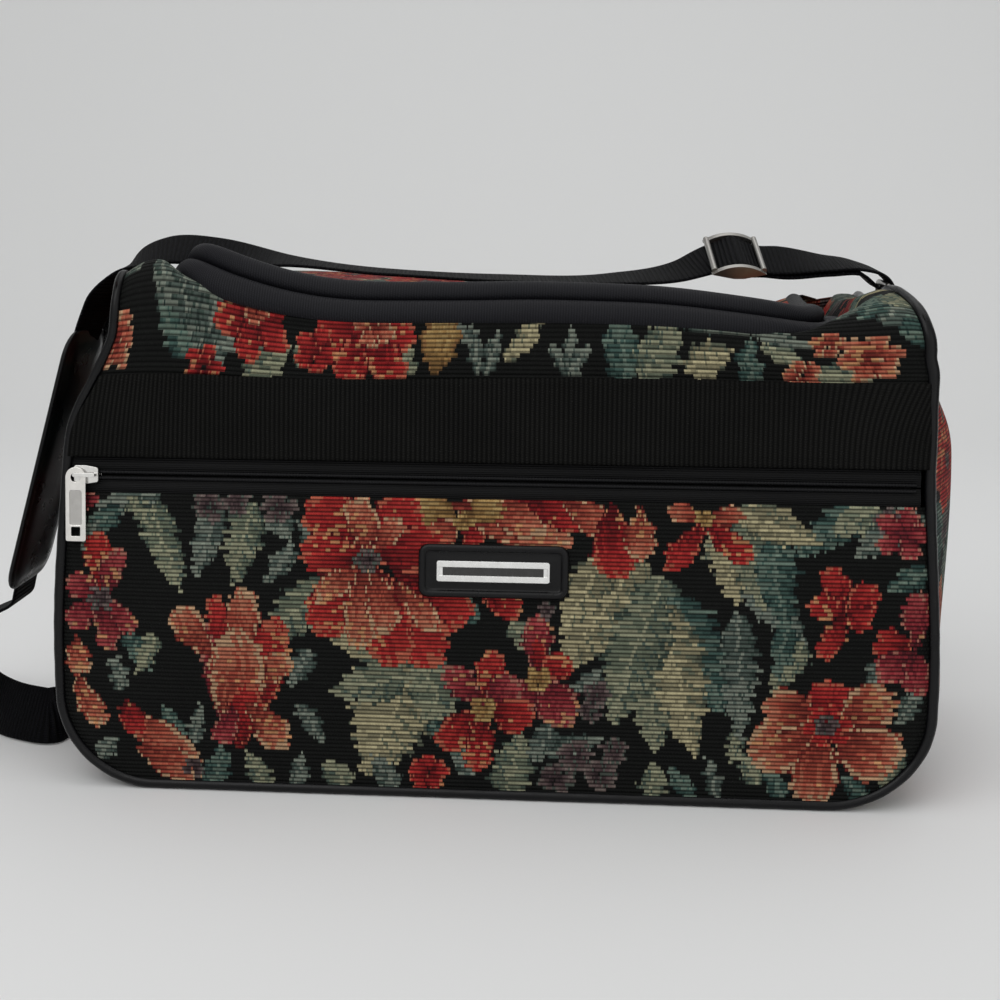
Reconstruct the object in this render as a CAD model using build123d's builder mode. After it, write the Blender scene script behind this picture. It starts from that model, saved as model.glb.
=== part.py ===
# Soft carry-on shoulder bag: floral tapestry panels piped in vinyl, a front pocket under a webbing band,
# a lid held by a raised zip that runs round three of its sides, and a webbing strap with a shoulder pad.
# The front faces -Y, the floor is the plane z = 0 and the middle of the base is the origin.
import os
from math import cos, radians, sin, sqrt, tan

from build123d import *

os.makedirs("parts", exist_ok=True)

# The bag's form: a base, a front that leans back, ends that belly out
base_depth = 190.0
front_lean = 8.0
seam_half_width = 217.0
waist_inset = 2.0
waist_drop = 44.5
shoulder_inset = 17.0
surround_height = 246.0
top_bend_radius = 16.0
back_bend_radius = 8.0
bottom_corner_radius = 45.0
waist_radius = 60.0
shoulder_turn_radius = 12.0
shoulder_turn_drop = 8.0
belly_out = 16.0
belly_shoulder_out = 12.0
belly_drop = 61.0
belly_corner_radius = 60.0
belly_depth_share = 0.1
foot_inset = 67.0

# Cloth and seams
wall = 2.5
bead_radius = 2.6
bead_join = 3.0
seam_gap = 0.1
lap = 3.0
overrun = 20.0

# Front: pocket, zip and webbing band, measured along the leaning panel
pocket_zip_drop = 83.5
zip_window = 18.6
band_height = 45.0
band_thickness = 1.6
pocket_room = 14.0
backing_thickness = 1.2
backing_rise = 12.0
board_thickness = 2.0
board_margin = 8.0

# Zip tape, coil and slider, shared by both zips
tape_thickness = 1.1
tape_tuck = 6.0
coil_width = 1.9
coil_height = 2.1
chain_slit = 1.2
slider_length = 12.6
slider_nose_width = 9.4
slider_tail_width = 7.2
slider_plate = 1.7
slider_clearance = 0.3
slider_round = 1.2
flange_width = 0.9
web_thickness = 0.6
web_length = 8.0
post_offset = 4.8
post_radius = 1.05
bridge_room = 2.8
bridge_bar = 1.5

# Pull of the pocket zip, hung on a post of its slider, and pull of the lid zip, turning on a cross bar
pull_length = 38.0
pull_width = 10.5
pull_thickness = 1.9
pull_eye_radius = 2.5
pull_clearance = 0.05
pull_slot_size = 4.8
pull_slot_margin = 2.6
pull_panel_width = 6.4
pull_panel_length = 18.0
pull_panel_depth = 0.4
pull_panel_drop = 15.5
lid_pull_length = 26.0
lid_pull_width = 8.4
lid_pull_thickness = 1.6
lid_pull_eye_length = 6.7
lid_pull_eye_width = 4.6
cross_bar_radius = 0.9

# Lid and the raised zip round it, on a plane that is a little higher at the left
rim_drop = 8.5
rim_tilt = 1.0
rim_rise = 15.5
rim_side_margin = 24.0
rim_back_margin = 11.0
rim_setback = 1.2
rim_corner_radius = 48.0
lid_slider_back = 10.0

# Badge on the pocket
badge_width = 76.0
badge_height = 27.0
badge_corner = 5.0
badge_thickness = 1.7
badge_seat_depth = 0.6
badge_center_x = 4.0
badge_drop = 45.5
plate_width = 57.0
plate_height = 10.4
plate_thickness = 1.6
plate_stripe_height = 4.2
plate_stripe_depth = 0.4
plate_corner = 1.2

# Strap, its rings, tabs, buckle and shoulder pad
strap_width = 32.0
strap_thickness = 1.8
strap_clearance = 0.3
strap_slack = 0.35
anchor_y = 30.0
left_drop_y = -22.0
ring_wire = 1.6
ring_drop = 12.4
ring_play = 1.2
ring_flare = 25.0
tab_length = 34.0
tab_width = 30.0
tab_thickness = 2.2
buckle_inset = 75.0
buckle_rise = 16.0
buckle_tilt = 25.0
buckle_reach = 13.0
buckle_arch = 2.4
buckle_rod = 1.6
buckle_core = 1.4
buckle_cheek = 3.0
pad_width = 60.0
pad_thickness = 6.0
pad_corner = 14.0
pad_top_out = 19.0
pad_top_drop = 15.0
pad_bottom_out = 62.0
pad_bottom_drop = 156.0
pad_run_out = 9.0

# Values worked out from the sizes above
lean = radians(front_lean)
tilt = radians(rim_tilt)
half_depth = base_depth / 2
seam_depth = wall / 2
seam_inset = bead_radius + seam_gap
panel_inset = seam_depth + seam_inset
front_plane = Plane(origin=(0, -half_depth, 0), x_dir=(1, 0, 0), z_dir=(0, -cos(lean), sin(lean)))
back_plane = Plane(origin=(0, half_depth, 0), x_dir=(-1, 0, 0), z_dir=(0, 1, 0))
front_corner = surround_height / cos(lean)
bend_start = front_corner - top_bend_radius * tan(radians(90 - front_lean) / 2)
shoulder_half_width = seam_half_width - shoulder_inset
waist_half_width = seam_half_width - waist_inset
foot_half_width = seam_half_width - foot_inset
waist_height = bend_start - waist_drop
belly_half_width = seam_half_width + belly_out
belly_shoulder_half_width = seam_half_width + belly_shoulder_out
belly_height = surround_height - belly_drop
rim_low = surround_height - rim_drop
rim_half_width = shoulder_half_width - rim_side_margin
buckle_x = shoulder_half_width - buckle_inset
rim_back = half_depth - rim_back_margin
pocket_zip_height = surround_height - pocket_zip_drop
badge_center_height = pocket_zip_height - badge_drop
bead_low = (seam_inset + seam_depth * sin(lean)) / cos(lean)
gusset_low = (seam_depth + seam_depth * sin(lean)) / cos(lean)
zip_low_edge = pocket_zip_height - zip_window / 2
zip_high_edge = pocket_zip_height + zip_window / 2
panel_span = 2 * (seam_half_width + overrun)


def front_y(height, inset):
    """Y of the leaning front at a height, moved in from its outer face by an inset."""
    return -half_depth + (inset + height * sin(lean)) / cos(lean)


def mirrored(points):
    """A run of points down one side, followed by its mirror image up the other side."""
    return [*points, *[(-x, height) for x, height in reversed(points)]]


def shifted(points, radii, distance):
    """Corner points and radii of a run moved to its left by a distance."""
    path = [Vector(*point) for point in points]
    runs = [(end - start).normalized() for start, end in zip(path, path[1:])]
    lefts = [Vector(-run.Y, run.X) for run in runs]
    corners = [path[0] + lefts[0] * distance]
    for corner, before, after in zip(path[1:-1], lefts, lefts[1:]):
        corners.append(corner + (before + after) * (distance / (1 + before.dot(after))))
    corners.append(path[-1] + lefts[-1] * distance)
    turns = [before.X * after.Y - before.Y * after.X for before, after in zip(runs, runs[1:])]
    moved = [radius - distance if turn > 0 else radius + distance for radius, turn in zip(radii, turns)]
    return corners, moved


def cloth_band(points, radii):
    """Closed outline of a cloth of the wall's thickness that follows a run of points."""
    with BuildLine() as outline:
        sides = [FilletPolyline(*corners, radius=rounds) for corners, rounds in
                 (shifted(points, radii, seam_depth), shifted(points, radii, -seam_depth))]
        Line(sides[0] @ 0, sides[1] @ 0)
        Line(sides[0] @ 1, sides[1] @ 1)
    return make_face(outline.edges(), mode=Mode.PRIVATE)


def finish(piece, label):
    """Name a piece and write it."""
    piece.part.label = label
    export_step(piece.part, f"parts/{label}.step")


# The seam that the front piping follows, down one side of the leaning front
seam_side = [(shoulder_half_width, bend_start - bead_join),
             (shoulder_half_width, bend_start - shoulder_turn_drop),
             (waist_half_width, waist_height),
             (seam_half_width, bead_low)]
seam_side_radii = [shoulder_turn_radius, waist_radius, bottom_corner_radius]
seam_radii = [*seam_side_radii, *reversed(seam_side_radii)]

# The area inside that seam, open at the top, from which the front's layers are cut
panel_side = [(shoulder_half_width, front_corner + overrun), *seam_side[1:]]
with BuildSketch(front_plane) as front_outline:
    with BuildLine():
        outline = FilletPolyline(*mirrored(panel_side), radius=seam_radii)
        Line(outline @ 1, outline @ 0)
    make_face()
    offset(amount=-seam_inset)

# Pocket panel: tapestry below the zip
with BuildPart() as front_pocket_panel:
    with BuildSketch(front_plane):
        add(front_outline.sketch_local)
        Rectangle(panel_span, zip_low_edge, align=(Align.CENTER, Align.MIN), mode=Mode.INTERSECT)
    extrude(amount=-wall)
finish(front_pocket_panel, "front_pocket_panel")

# Webbing band sewn on over the tapestry, its lower edge along the zip
with BuildPart() as front_band:
    with BuildSketch(front_plane):
        add(front_outline.sketch_local)
        with Locations((0, zip_high_edge)):
            Rectangle(panel_span, band_height, align=(Align.CENTER, Align.MIN), mode=Mode.INTERSECT)
    extrude(amount=band_thickness)
finish(front_band, "front_band")


def bend_run(inset):
    """Side view of the cloth that bends from the front to the top, moved in by an inset."""
    start_height = (bend_start - lap) * cos(lean) - inset * sin(lean)
    top = surround_height - inset
    return [(front_y(start_height, inset), start_height), (front_y(top, inset), top),
            (half_depth - wall - seam_gap, top)]


def rim_side(inset):
    """Run of the lid zip's lower edge round the front of the lid, moved in by an inset."""
    half = rim_half_width - inset
    front = front_y(rim_low, rim_setback) + inset
    return [(-half, rim_back), (-half, front), (half, front), (half, rim_back)]


rim_plane = Plane(origin=(0, 0, rim_low), x_dir=(cos(tilt), 0, -sin(tilt)), z_dir=(sin(tilt), 0, cos(tilt)))
lid_top_gap = surround_height - rim_low
coil_room = coil_height * sqrt(2) + seam_gap

# Top wrap: one tapestry from the zip over the bend to the lid's opening and its surround
with BuildPart() as top_wrap:
    with BuildSketch(front_plane):
        add(front_outline.sketch_local)
        with Locations((0, zip_high_edge)):
            Rectangle(panel_span, bend_start - zip_high_edge, align=(Align.CENTER, Align.MIN),
                      mode=Mode.INTERSECT)
    extrude(amount=-wall)
    with BuildSketch(Plane.YZ):
        with BuildLine():
            outer = FilletPolyline(*bend_run(0), radius=top_bend_radius)
            inner = FilletPolyline(*bend_run(wall), radius=top_bend_radius - wall)
            Line(outer @ 0, inner @ 0)
            Line(outer @ 1, inner @ 1)
        make_face()
    extrude(amount=shoulder_half_width - seam_inset, both=True)
    for rise in (0, lid_top_gap + overrun / 2):
        with BuildSketch(rim_plane.offset(rise)):
            with BuildLine():
                inset = rise - coil_room
                edge = FilletPolyline(*rim_side(inset), radius=rim_corner_radius - inset)
                Line(edge @ 1, edge @ 0)
            make_face()
    loft(ruled=True, mode=Mode.SUBTRACT)
finish(top_wrap, "top_wrap")

# Back panel: plain tapestry up to the top edge
back_side = [(shoulder_half_width, surround_height + overrun),
             (shoulder_half_width, bend_start - shoulder_turn_drop),
             (waist_half_width, waist_height),
             (seam_half_width, seam_inset)]
with BuildPart() as back_panel:
    with BuildSketch(back_plane):
        with BuildLine():
            outline = FilletPolyline(*mirrored(back_side), radius=seam_radii)
            Line(outline @ 1, outline @ 0)
        make_face()
        offset(amount=-seam_inset)
        Rectangle(panel_span, surround_height, align=(Align.CENTER, Align.MIN), mode=Mode.INTERSECT)
    extrude(amount=-wall)
finish(back_panel, "back_panel")

# End gussets: tapestry that bellies out and turns in under the bag to meet the bottom panel
front_gusset = [(shoulder_half_width, front_corner), *seam_side[1:3],
                (seam_half_width, gusset_low), (foot_half_width, gusset_low)]
belly_gusset = [(shoulder_half_width, surround_height),
                (shoulder_half_width + seam_depth, surround_height - shoulder_turn_drop),
                (belly_shoulder_half_width, belly_height),
                (belly_half_width, seam_depth), (foot_half_width, seam_depth)]
back_gusset = [(shoulder_half_width, surround_height), *back_side[1:3],
               (seam_half_width, seam_depth), (foot_half_width, seam_depth)]
belly_radii = [shoulder_turn_radius, waist_radius, belly_corner_radius]
belly_y = half_depth * belly_depth_share
with BuildPart() as right_gusset:
    with BuildSketch(front_plane.offset(-seam_depth)):
        add(cloth_band(front_gusset, seam_side_radii))
    for depth, run, radii in ((belly_y, belly_gusset, belly_radii),
                              (half_depth - seam_depth, back_gusset, seam_side_radii)):
        with BuildSketch(Plane(origin=(0, depth, 0), x_dir=(1, 0, 0), z_dir=(0, -1, 0))):
            add(cloth_band(run, radii))
    loft()
    with BuildSketch(Plane.YZ):
        with BuildLine():
            top = surround_height - panel_inset
            FilletPolyline((front_y(0, panel_inset), 0), (front_y(top, panel_inset), top),
                           (half_depth - panel_inset, top), (half_depth - panel_inset, 0),
                           radius=[0, top_bend_radius - panel_inset, back_bend_radius - seam_inset, 0],
                           close=True)
        make_face()
    extrude(amount=belly_half_width + overrun, mode=Mode.INTERSECT)
finish(right_gusset, "right_gusset")

with BuildPart() as left_gusset:
    mirror(right_gusset.part, about=Plane.YZ)
finish(left_gusset, "left_gusset")

# Bottom panel that the bag stands on, and the stiff board laid on it inside
bottom_front = front_y(wall, panel_inset)
bottom_back = half_depth - panel_inset
with BuildPart() as bottom_panel:
    with BuildSketch():
        with Locations((0, (bottom_front + bottom_back) / 2)):
            Rectangle(2 * (foot_half_width - seam_gap), bottom_back - bottom_front)
    extrude(amount=wall)
finish(bottom_panel, "bottom_panel")

backing_inset = wall + tape_thickness + pocket_room
board_front = front_y(wall + board_thickness, backing_inset + backing_thickness) + seam_gap
with BuildPart() as base_board:
    with BuildSketch(Plane.XY.offset(wall)):
        with Locations((0, (board_front + bottom_back) / 2)):
            Rectangle(2 * (foot_half_width - board_margin), bottom_back - board_front)
        fillet(vertices(), board_margin)
    extrude(amount=board_thickness)
finish(base_board, "base_board")

# Pocket backing: the lining wall behind the pocket, from the bottom panel to above the zip
backing_low = (wall + seam_gap + (backing_inset + backing_thickness) * sin(lean)) / cos(lean)
with BuildPart() as pocket_backing:
    with BuildSketch(front_plane.offset(-backing_inset)):
        add(front_outline.sketch_local)
        with Locations((0, backing_low)):
            Rectangle(panel_span, zip_high_edge + backing_rise - backing_low,
                      align=(Align.CENTER, Align.MIN), mode=Mode.INTERSECT)
    extrude(amount=-backing_thickness)
finish(pocket_backing, "pocket_backing")

# Vinyl piping: round the front, round the back, and over the top of each end
with BuildPart() as front_piping:
    with BuildLine(front_plane.offset(-seam_depth)) as front_seam:
        FilletPolyline(*mirrored(seam_side), radius=seam_radii)
    with BuildSketch(Plane(origin=front_seam.wire() @ 0, z_dir=front_seam.wire() % 0)):
        Circle(bead_radius)
    sweep(path=front_seam.wire())
finish(front_piping, "front_piping")

bead_top = surround_height - seam_depth
back_bead_top = bead_top - back_bend_radius - bead_join
with BuildPart() as back_piping:
    with BuildLine(back_plane.offset(-seam_depth)) as back_seam:
        FilletPolyline(*mirrored([(shoulder_half_width, back_bead_top), *back_side[1:]]), radius=seam_radii)
    with BuildSketch(Plane(origin=back_seam.wire() @ 0, z_dir=back_seam.wire() % 0)):
        Circle(bead_radius)
    sweep(path=back_seam.wire())
finish(back_piping, "back_piping")

top_bead_start = (bend_start - bead_join) * cos(lean) - seam_depth * sin(lean)
with BuildPart() as right_top_piping:
    with BuildLine(Plane.YZ.offset(shoulder_half_width)) as top_seam:
        FilletPolyline((front_y(top_bead_start, seam_depth), top_bead_start),
                       (front_y(bead_top, seam_depth), bead_top),
                       (half_depth - seam_depth, bead_top),
                       (half_depth - seam_depth, back_bead_top),
                       radius=[top_bend_radius - seam_depth, back_bend_radius])
    with BuildSketch(Plane(origin=top_seam.wire() @ 0, z_dir=top_seam.wire() % 0)):
        Circle(bead_radius)
    sweep(path=top_seam.wire())
finish(right_top_piping, "right_top_piping")

with BuildPart() as left_top_piping:
    mirror(right_top_piping.part, about=Plane.YZ)
finish(left_top_piping, "left_top_piping")

# Pocket zip: two tapes under the panel edges and the two strands of its coil
zip_plane = Plane(origin=front_plane.from_local_coords((0, pocket_zip_height, -wall)),
                  x_dir=(1, 0, 0), z_dir=front_plane.z_dir)
chain_half = chain_slit / 2
pocket_chain_half = waist_half_width - seam_inset
pocket_zip = {}
for name, sign in (("upper", 1), ("lower", -1)):
    with BuildPart() as pocket_zip[name, "tape"]:
        tape_reach = zip_window / 2 + tape_tuck - chain_half
        with BuildSketch(zip_plane):
            with Locations((0, sign * (chain_half + tape_reach / 2))):
                Rectangle(2 * pocket_chain_half, tape_reach)
        extrude(amount=-tape_thickness)
    finish(pocket_zip[name, "tape"], f"pocket_zip_{name}_tape")
    with BuildPart() as pocket_zip[name, "coil"]:
        with BuildSketch(zip_plane):
            with Locations((0, sign * (chain_half + coil_width / 2))):
                Rectangle(2 * pocket_chain_half, coil_width)
        extrude(amount=coil_height)
        fillet(edges().filter_by(Axis.X).group_by(SortBy.DISTANCE)[-1], coil_width / 4)
    finish(pocket_zip[name, "coil"], f"pocket_zip_{name}_coil")

# Lid zip: the same tapes and strands carried round the lid on a slope of 45 degrees
rim_slope = rim_rise * sqrt(2)
rim_middle = rim_slope / 2
with BuildLine(rim_plane) as rim_path:
    FilletPolyline(*rim_side(0), radius=rim_corner_radius)
rim_wire = rim_path.wire()
slope_up = rim_plane.x_dir + rim_plane.z_dir
rim_section = Plane(origin=rim_wire @ 0, x_dir=slope_up, z_dir=rim_wire % 0)
tape_start = tape_thickness + seam_gap
lid_zip_sections = {
    "top_zip_outer_tape": (tape_start, rim_middle - chain_half, -tape_thickness, 0),
    "top_zip_inner_tape": (rim_middle + chain_half, rim_slope, -tape_thickness, 0),
    "top_zip_outer_coil": (rim_middle - chain_half - coil_width, rim_middle - chain_half, 0, coil_height),
    "top_zip_inner_coil": (rim_middle + chain_half, rim_middle + chain_half + coil_width, 0, coil_height),
}
for label, (low, high, under, over) in lid_zip_sections.items():
    with BuildPart() as lid_zip_strip:
        with BuildSketch(rim_section):
            with Locations(((low + high) / 2, (under + over) / 2)):
                Rectangle(high - low, over - under)
        sweep(path=rim_wire)
    finish(lid_zip_strip, label)

# Lid: tapestry inside the zip, folding down at the back to the surround
lid_inset = rim_rise + tape_thickness / sqrt(2) + seam_gap
flap_front = rim_back + seam_gap
with BuildPart() as lid:
    with BuildSketch(rim_plane.offset(rim_rise - wall)):
        with BuildLine():
            points = rim_side(lid_inset)
            points = [(x, flap_front + wall if y == rim_back else y) for x, y in points]
            edge = FilletPolyline(*points, radius=rim_corner_radius - lid_inset)
            Line(edge @ 1, edge @ 0)
        make_face()
    extrude(amount=wall)
    flap_low = surround_height + seam_gap
    flap_half = rim_half_width - lid_top_gap
    with BuildSketch(Plane(origin=(0, flap_front, 0), x_dir=(1, 0, 0), z_dir=(0, -1, 0))):
        with BuildLine():
            corner = rim_plane.from_local_coords((rim_half_width - lid_inset, 0, rim_rise - wall / 2))
            left_corner = rim_plane.from_local_coords((lid_inset - rim_half_width, 0, rim_rise - wall / 2))
            Polyline((flap_half, flap_low), (corner.X, corner.Z), (left_corner.X, left_corner.Z),
                     (-flap_half, flap_low), close=True)
        make_face()
    extrude(amount=-wall)
finish(lid, "lid")


def zip_slider(plane):
    """Slider on a chain that runs along the plane's X, its tape face on the plane, its nose towards +X."""
    roof = coil_height + slider_clearance
    floor = -tape_thickness - slider_clearance
    with BuildPart() as slider:
        for level, thickness in ((roof, slider_plate), (floor, -slider_plate)):
            with BuildSketch(plane.offset(level)):
                with BuildLine():
                    Polyline((slider_length / 2, slider_nose_width / 2), (0, slider_nose_width / 2),
                             (-slider_length / 2, slider_tail_width / 2),
                             (-slider_length / 2, -slider_tail_width / 2),
                             (0, -slider_nose_width / 2), (slider_length / 2, -slider_nose_width / 2),
                             close=True)
                make_face()
                fillet(vertices(), slider_round)
            extrude(amount=thickness)
        flange_drop = roof - slider_clearance
        with BuildSketch(plane.offset(roof)):
            with Locations((slider_length / 4, (slider_nose_width - flange_width) / 2),
                           (slider_length / 4, (flange_width - slider_nose_width) / 2)):
                Rectangle(slider_length / 2 - slider_round, flange_width)
        extrude(amount=-flange_drop)
        with BuildSketch(plane.offset(floor)):
            Rectangle(web_length, web_thickness)
        extrude(amount=roof - floor)
        deck = roof + slider_plate
        with BuildSketch(plane.offset(deck)):
            with Locations((post_offset, 0), (-post_offset, 0)):
                Circle(post_radius)
        extrude(amount=bridge_room)
        with BuildSketch(plane.offset(deck + bridge_room)):
            SlotCenterToCenter(2 * post_offset, 2 * post_radius)
        extrude(amount=bridge_bar)
    return slider


slider_deck = coil_height + slider_clearance + slider_plate

# Pocket slider at the closed, left end of its zip, and the pull that hangs from its nose post
pocket_slider_x = -pocket_chain_half + slider_length / 2 + seam_gap
pocket_slider_plane = Plane(origin=zip_plane.from_local_coords((pocket_slider_x, 0, 0)),
                            x_dir=(-1, 0, 0), z_dir=zip_plane.z_dir)
pocket_slider = zip_slider(pocket_slider_plane)
finish(pocket_slider, "pocket_slider")

eye_drop = pull_eye_radius - post_radius - pull_clearance
pull_low = slider_deck + (bridge_room - pull_thickness) / 2
pull_end = eye_drop + pull_length - pull_width / 2
with BuildPart() as pocket_pull:
    with BuildSketch(pocket_slider_plane.offset(pull_low)):
        with Locations((post_offset, eye_drop)):
            Circle(pull_width / 2)
            Rectangle(pull_width, pull_end - eye_drop, align=(Align.CENTER, Align.MIN))
        fillet(vertices().group_by(Axis.Y)[-1], slider_round)
        with Locations((post_offset, eye_drop)):
            Circle(pull_eye_radius, mode=Mode.SUBTRACT)
        with Locations((post_offset, pull_end - pull_slot_margin - pull_slot_size / 2)):
            RectangleRounded(pull_slot_size, pull_slot_size, slider_round / 2, mode=Mode.SUBTRACT)
    extrude(amount=pull_thickness)
    with BuildSketch(pocket_slider_plane.offset(pull_low + pull_thickness)):
        with Locations((post_offset, eye_drop + pull_panel_drop)):
            RectangleRounded(pull_panel_width, pull_panel_length, slider_round)
    extrude(amount=-pull_panel_depth, mode=Mode.SUBTRACT)
finish(pocket_pull, "pocket_pull")

# Lid slider parked at the back of the left arm of its zip, and the pull that turns under its bridge
lid_chain = rim_section.from_local_coords((rim_middle, 0, 0))
lid_slider_plane = Plane(origin=lid_chain - rim_plane.y_dir * (lid_slider_back + slider_length / 2),
                         x_dir=rim_plane.y_dir, z_dir=rim_section.y_dir)
top_slider = zip_slider(lid_slider_plane)
finish(top_slider, "top_slider")

cross_bar_level = slider_deck + bridge_room / 2
with BuildPart() as top_pull:
    with BuildSketch(lid_slider_plane.offset(cross_bar_level - lid_pull_thickness / 2)):
        Rectangle(lid_pull_length, lid_pull_width, align=(Align.MIN, Align.CENTER))
        fillet(vertices().group_by(Axis.X)[-1], lid_pull_width / 3)
        with Locations((cross_bar_radius, 0)):
            Rectangle(lid_pull_eye_length, lid_pull_eye_width, align=(Align.MIN, Align.CENTER),
                      mode=Mode.SUBTRACT)
    extrude(amount=lid_pull_thickness)
    bar_start = lid_slider_plane.from_local_coords((0, -lid_pull_width / 2, cross_bar_level))
    with BuildSketch(Plane(origin=bar_start, z_dir=lid_slider_plane.y_dir)):
        Circle(cross_bar_radius)
    extrude(amount=lid_pull_width)
finish(top_pull, "top_pull")

# Badge: a padded vinyl patch with a metal plate let into it
with BuildPart() as badge_patch:
    with BuildSketch(front_plane):
        with Locations((badge_center_x, badge_center_height)):
            RectangleRounded(badge_width, badge_height, badge_corner)
    extrude(amount=badge_thickness)
    fillet(faces().sort_by(Axis.Y)[0].edges(), badge_thickness / 3)
    with BuildSketch(front_plane.offset(badge_thickness)):
        with Locations((badge_center_x, badge_center_height)):
            RectangleRounded(plate_width + seam_gap, plate_height + seam_gap, plate_corner)
    extrude(amount=-badge_seat_depth, mode=Mode.SUBTRACT)
finish(badge_patch, "badge_patch")

plate_seat = badge_thickness - badge_seat_depth
with BuildPart() as badge_plate:
    with BuildSketch(front_plane.offset(plate_seat)):
        with Locations((badge_center_x, badge_center_height)):
            RectangleRounded(plate_width, plate_height, plate_corner)
    extrude(amount=plate_thickness)
    with BuildSketch(front_plane.offset(plate_seat + plate_thickness)):
        with Locations((badge_center_x, badge_center_height)):
            Rectangle(plate_width - 2 * plate_corner, plate_stripe_height)
    extrude(amount=-plate_stripe_depth, mode=Mode.SUBTRACT)
finish(badge_plate, "badge_plate")

# Strap tabs: vinyl loops sewn to the ends of the bag, each round the bar of a metal ring
slope_top = Vector(shoulder_half_width + seam_depth, 0, surround_height - shoulder_turn_drop)
slope_end = Vector(belly_shoulder_half_width, 0, belly_height)
slope_down = (slope_end - slope_top).normalized()
slope_out = Vector(-slope_down.Z, 0, slope_down.X)
sleeve_bore = ring_wire + strap_clearance
sleeve_radius = sleeve_bore + tab_thickness
tab_standoff = seam_depth + strap_clearance + sleeve_radius
tab_axis = slope_top + slope_out * tab_standoff + Vector(0, anchor_y, 0)
with BuildPart() as right_strap_tab:
    with BuildSketch(Plane(origin=tab_axis, x_dir=slope_down, z_dir=(0, -1, 0))):
        Circle(sleeve_radius)
        with Locations((0, -sleeve_radius)):
            Rectangle(tab_length, tab_thickness, align=(Align.MIN, Align.MIN))
        Circle(sleeve_bore, mode=Mode.SUBTRACT)
    extrude(amount=tab_width / 2, both=True)
finish(right_strap_tab, "right_strap_tab")

with BuildPart() as left_strap_tab:
    mirror(right_strap_tab.part, about=Plane.YZ)
finish(left_strap_tab, "left_strap_tab")


level = Vector(0, 1, 0)
upright = Vector(0, 0, 1)


def strap_ring(axis, reach):
    """Rectangular wire ring with one bar on an axis along Y and the other bar at a reach from it."""
    half = strap_width / 2 + ring_play + ring_wire
    with BuildPart() as ring:
        with BuildLine(Plane(origin=axis, x_dir=(0, 1, 0), z_dir=level.cross(reach))) as loop:
            FilletPolyline((-half, 0), (half, 0), (half, reach.length), (-half, reach.length),
                           radius=2 * ring_wire, close=True)
        with BuildSketch(Plane(origin=loop.wire() @ 0, z_dir=loop.wire() % 0)):
            Circle(ring_wire)
        sweep(path=loop.wire())
    return ring


# Rings: the right one stands up under the pull of the strap, the left one hangs away from its tab
right_ring_reach = Vector(0, 0, ring_drop)
left_axis = Vector(-tab_axis.X, tab_axis.Y, tab_axis.Z)
flare = radians(ring_flare)
hang = (slope_down * cos(flare) + slope_out * sin(flare)) * ring_drop
left_ring_reach = Vector(-hang.X, 0, hang.Z)
right_strap_ring = strap_ring(tab_axis, right_ring_reach)
finish(right_strap_ring, "right_strap_ring")
left_strap_ring = strap_ring(left_axis, left_ring_reach)
finish(left_strap_ring, "left_strap_ring")

# The strap's line over the lid, from the right ring to the edge that it falls over at the left
strap_half = strap_thickness / 2
strap_along = Vector(2 * tab_axis.X, anchor_y - left_drop_y, 0).normalized()
strap_side = Vector(-strap_along.Y, strap_along.X, 0)


def over_lid(x, rise):
    """Point of the strap's middle line above the lid's top plane."""
    share = (tab_axis.X - x) / (2 * tab_axis.X)
    height = rim_low + rim_rise * cos(tilt) - x * sin(tilt)
    return Vector(x, anchor_y + (left_drop_y - anchor_y) * share, height + rise)


def tilted(angle):
    """Direction across the strap with its far edge raised by an angle."""
    return strap_side * cos(radians(angle)) + upright * sin(radians(angle))


# Slide buckle: two end bars, a middle bar and arched cheeks
buckle_center = over_lid(buckle_x, buckle_rise)
buckle_across = tilted(buckle_tilt)
buckle_out = strap_along.cross(buckle_across)
cheek_middle = strap_width / 2 + strap_clearance + buckle_cheek / 2


def on_buckle(along, out):
    """Point in the buckle's side view."""
    return buckle_center + strap_along * along + buckle_out * out


with BuildPart() as slide_buckle:
    for side in (-1, 1):
        cheek_plane = Plane(origin=buckle_center + buckle_across * (side * cheek_middle),
                            x_dir=strap_along, z_dir=strap_along.cross(buckle_out))
        cheek_end = buckle_reach + buckle_rod
        cheek_low = -buckle_core - strap_clearance
        with BuildSketch(cheek_plane):
            with BuildLine():
                ThreePointArc((-cheek_end, buckle_arch - buckle_rod), (0, buckle_arch + 2 * buckle_rod),
                              (cheek_end, buckle_arch - buckle_rod))
                Polyline((cheek_end, buckle_arch - buckle_rod), (2 * buckle_core, cheek_low),
                         (-2 * buckle_core, cheek_low), (-cheek_end, buckle_arch - buckle_rod))
            make_face()
        extrude(amount=buckle_cheek / 2, both=True)
    for along, out, rod in ((-buckle_reach, buckle_arch, buckle_rod), (0, 0, buckle_core),
                            (buckle_reach, buckle_arch, buckle_rod)):
        with BuildSketch(Plane(origin=on_buckle(along, out), x_dir=strap_along, z_dir=buckle_across)):
            Circle(rod)
        extrude(amount=cheek_middle, both=True)
finish(slide_buckle, "slide_buckle")

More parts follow.
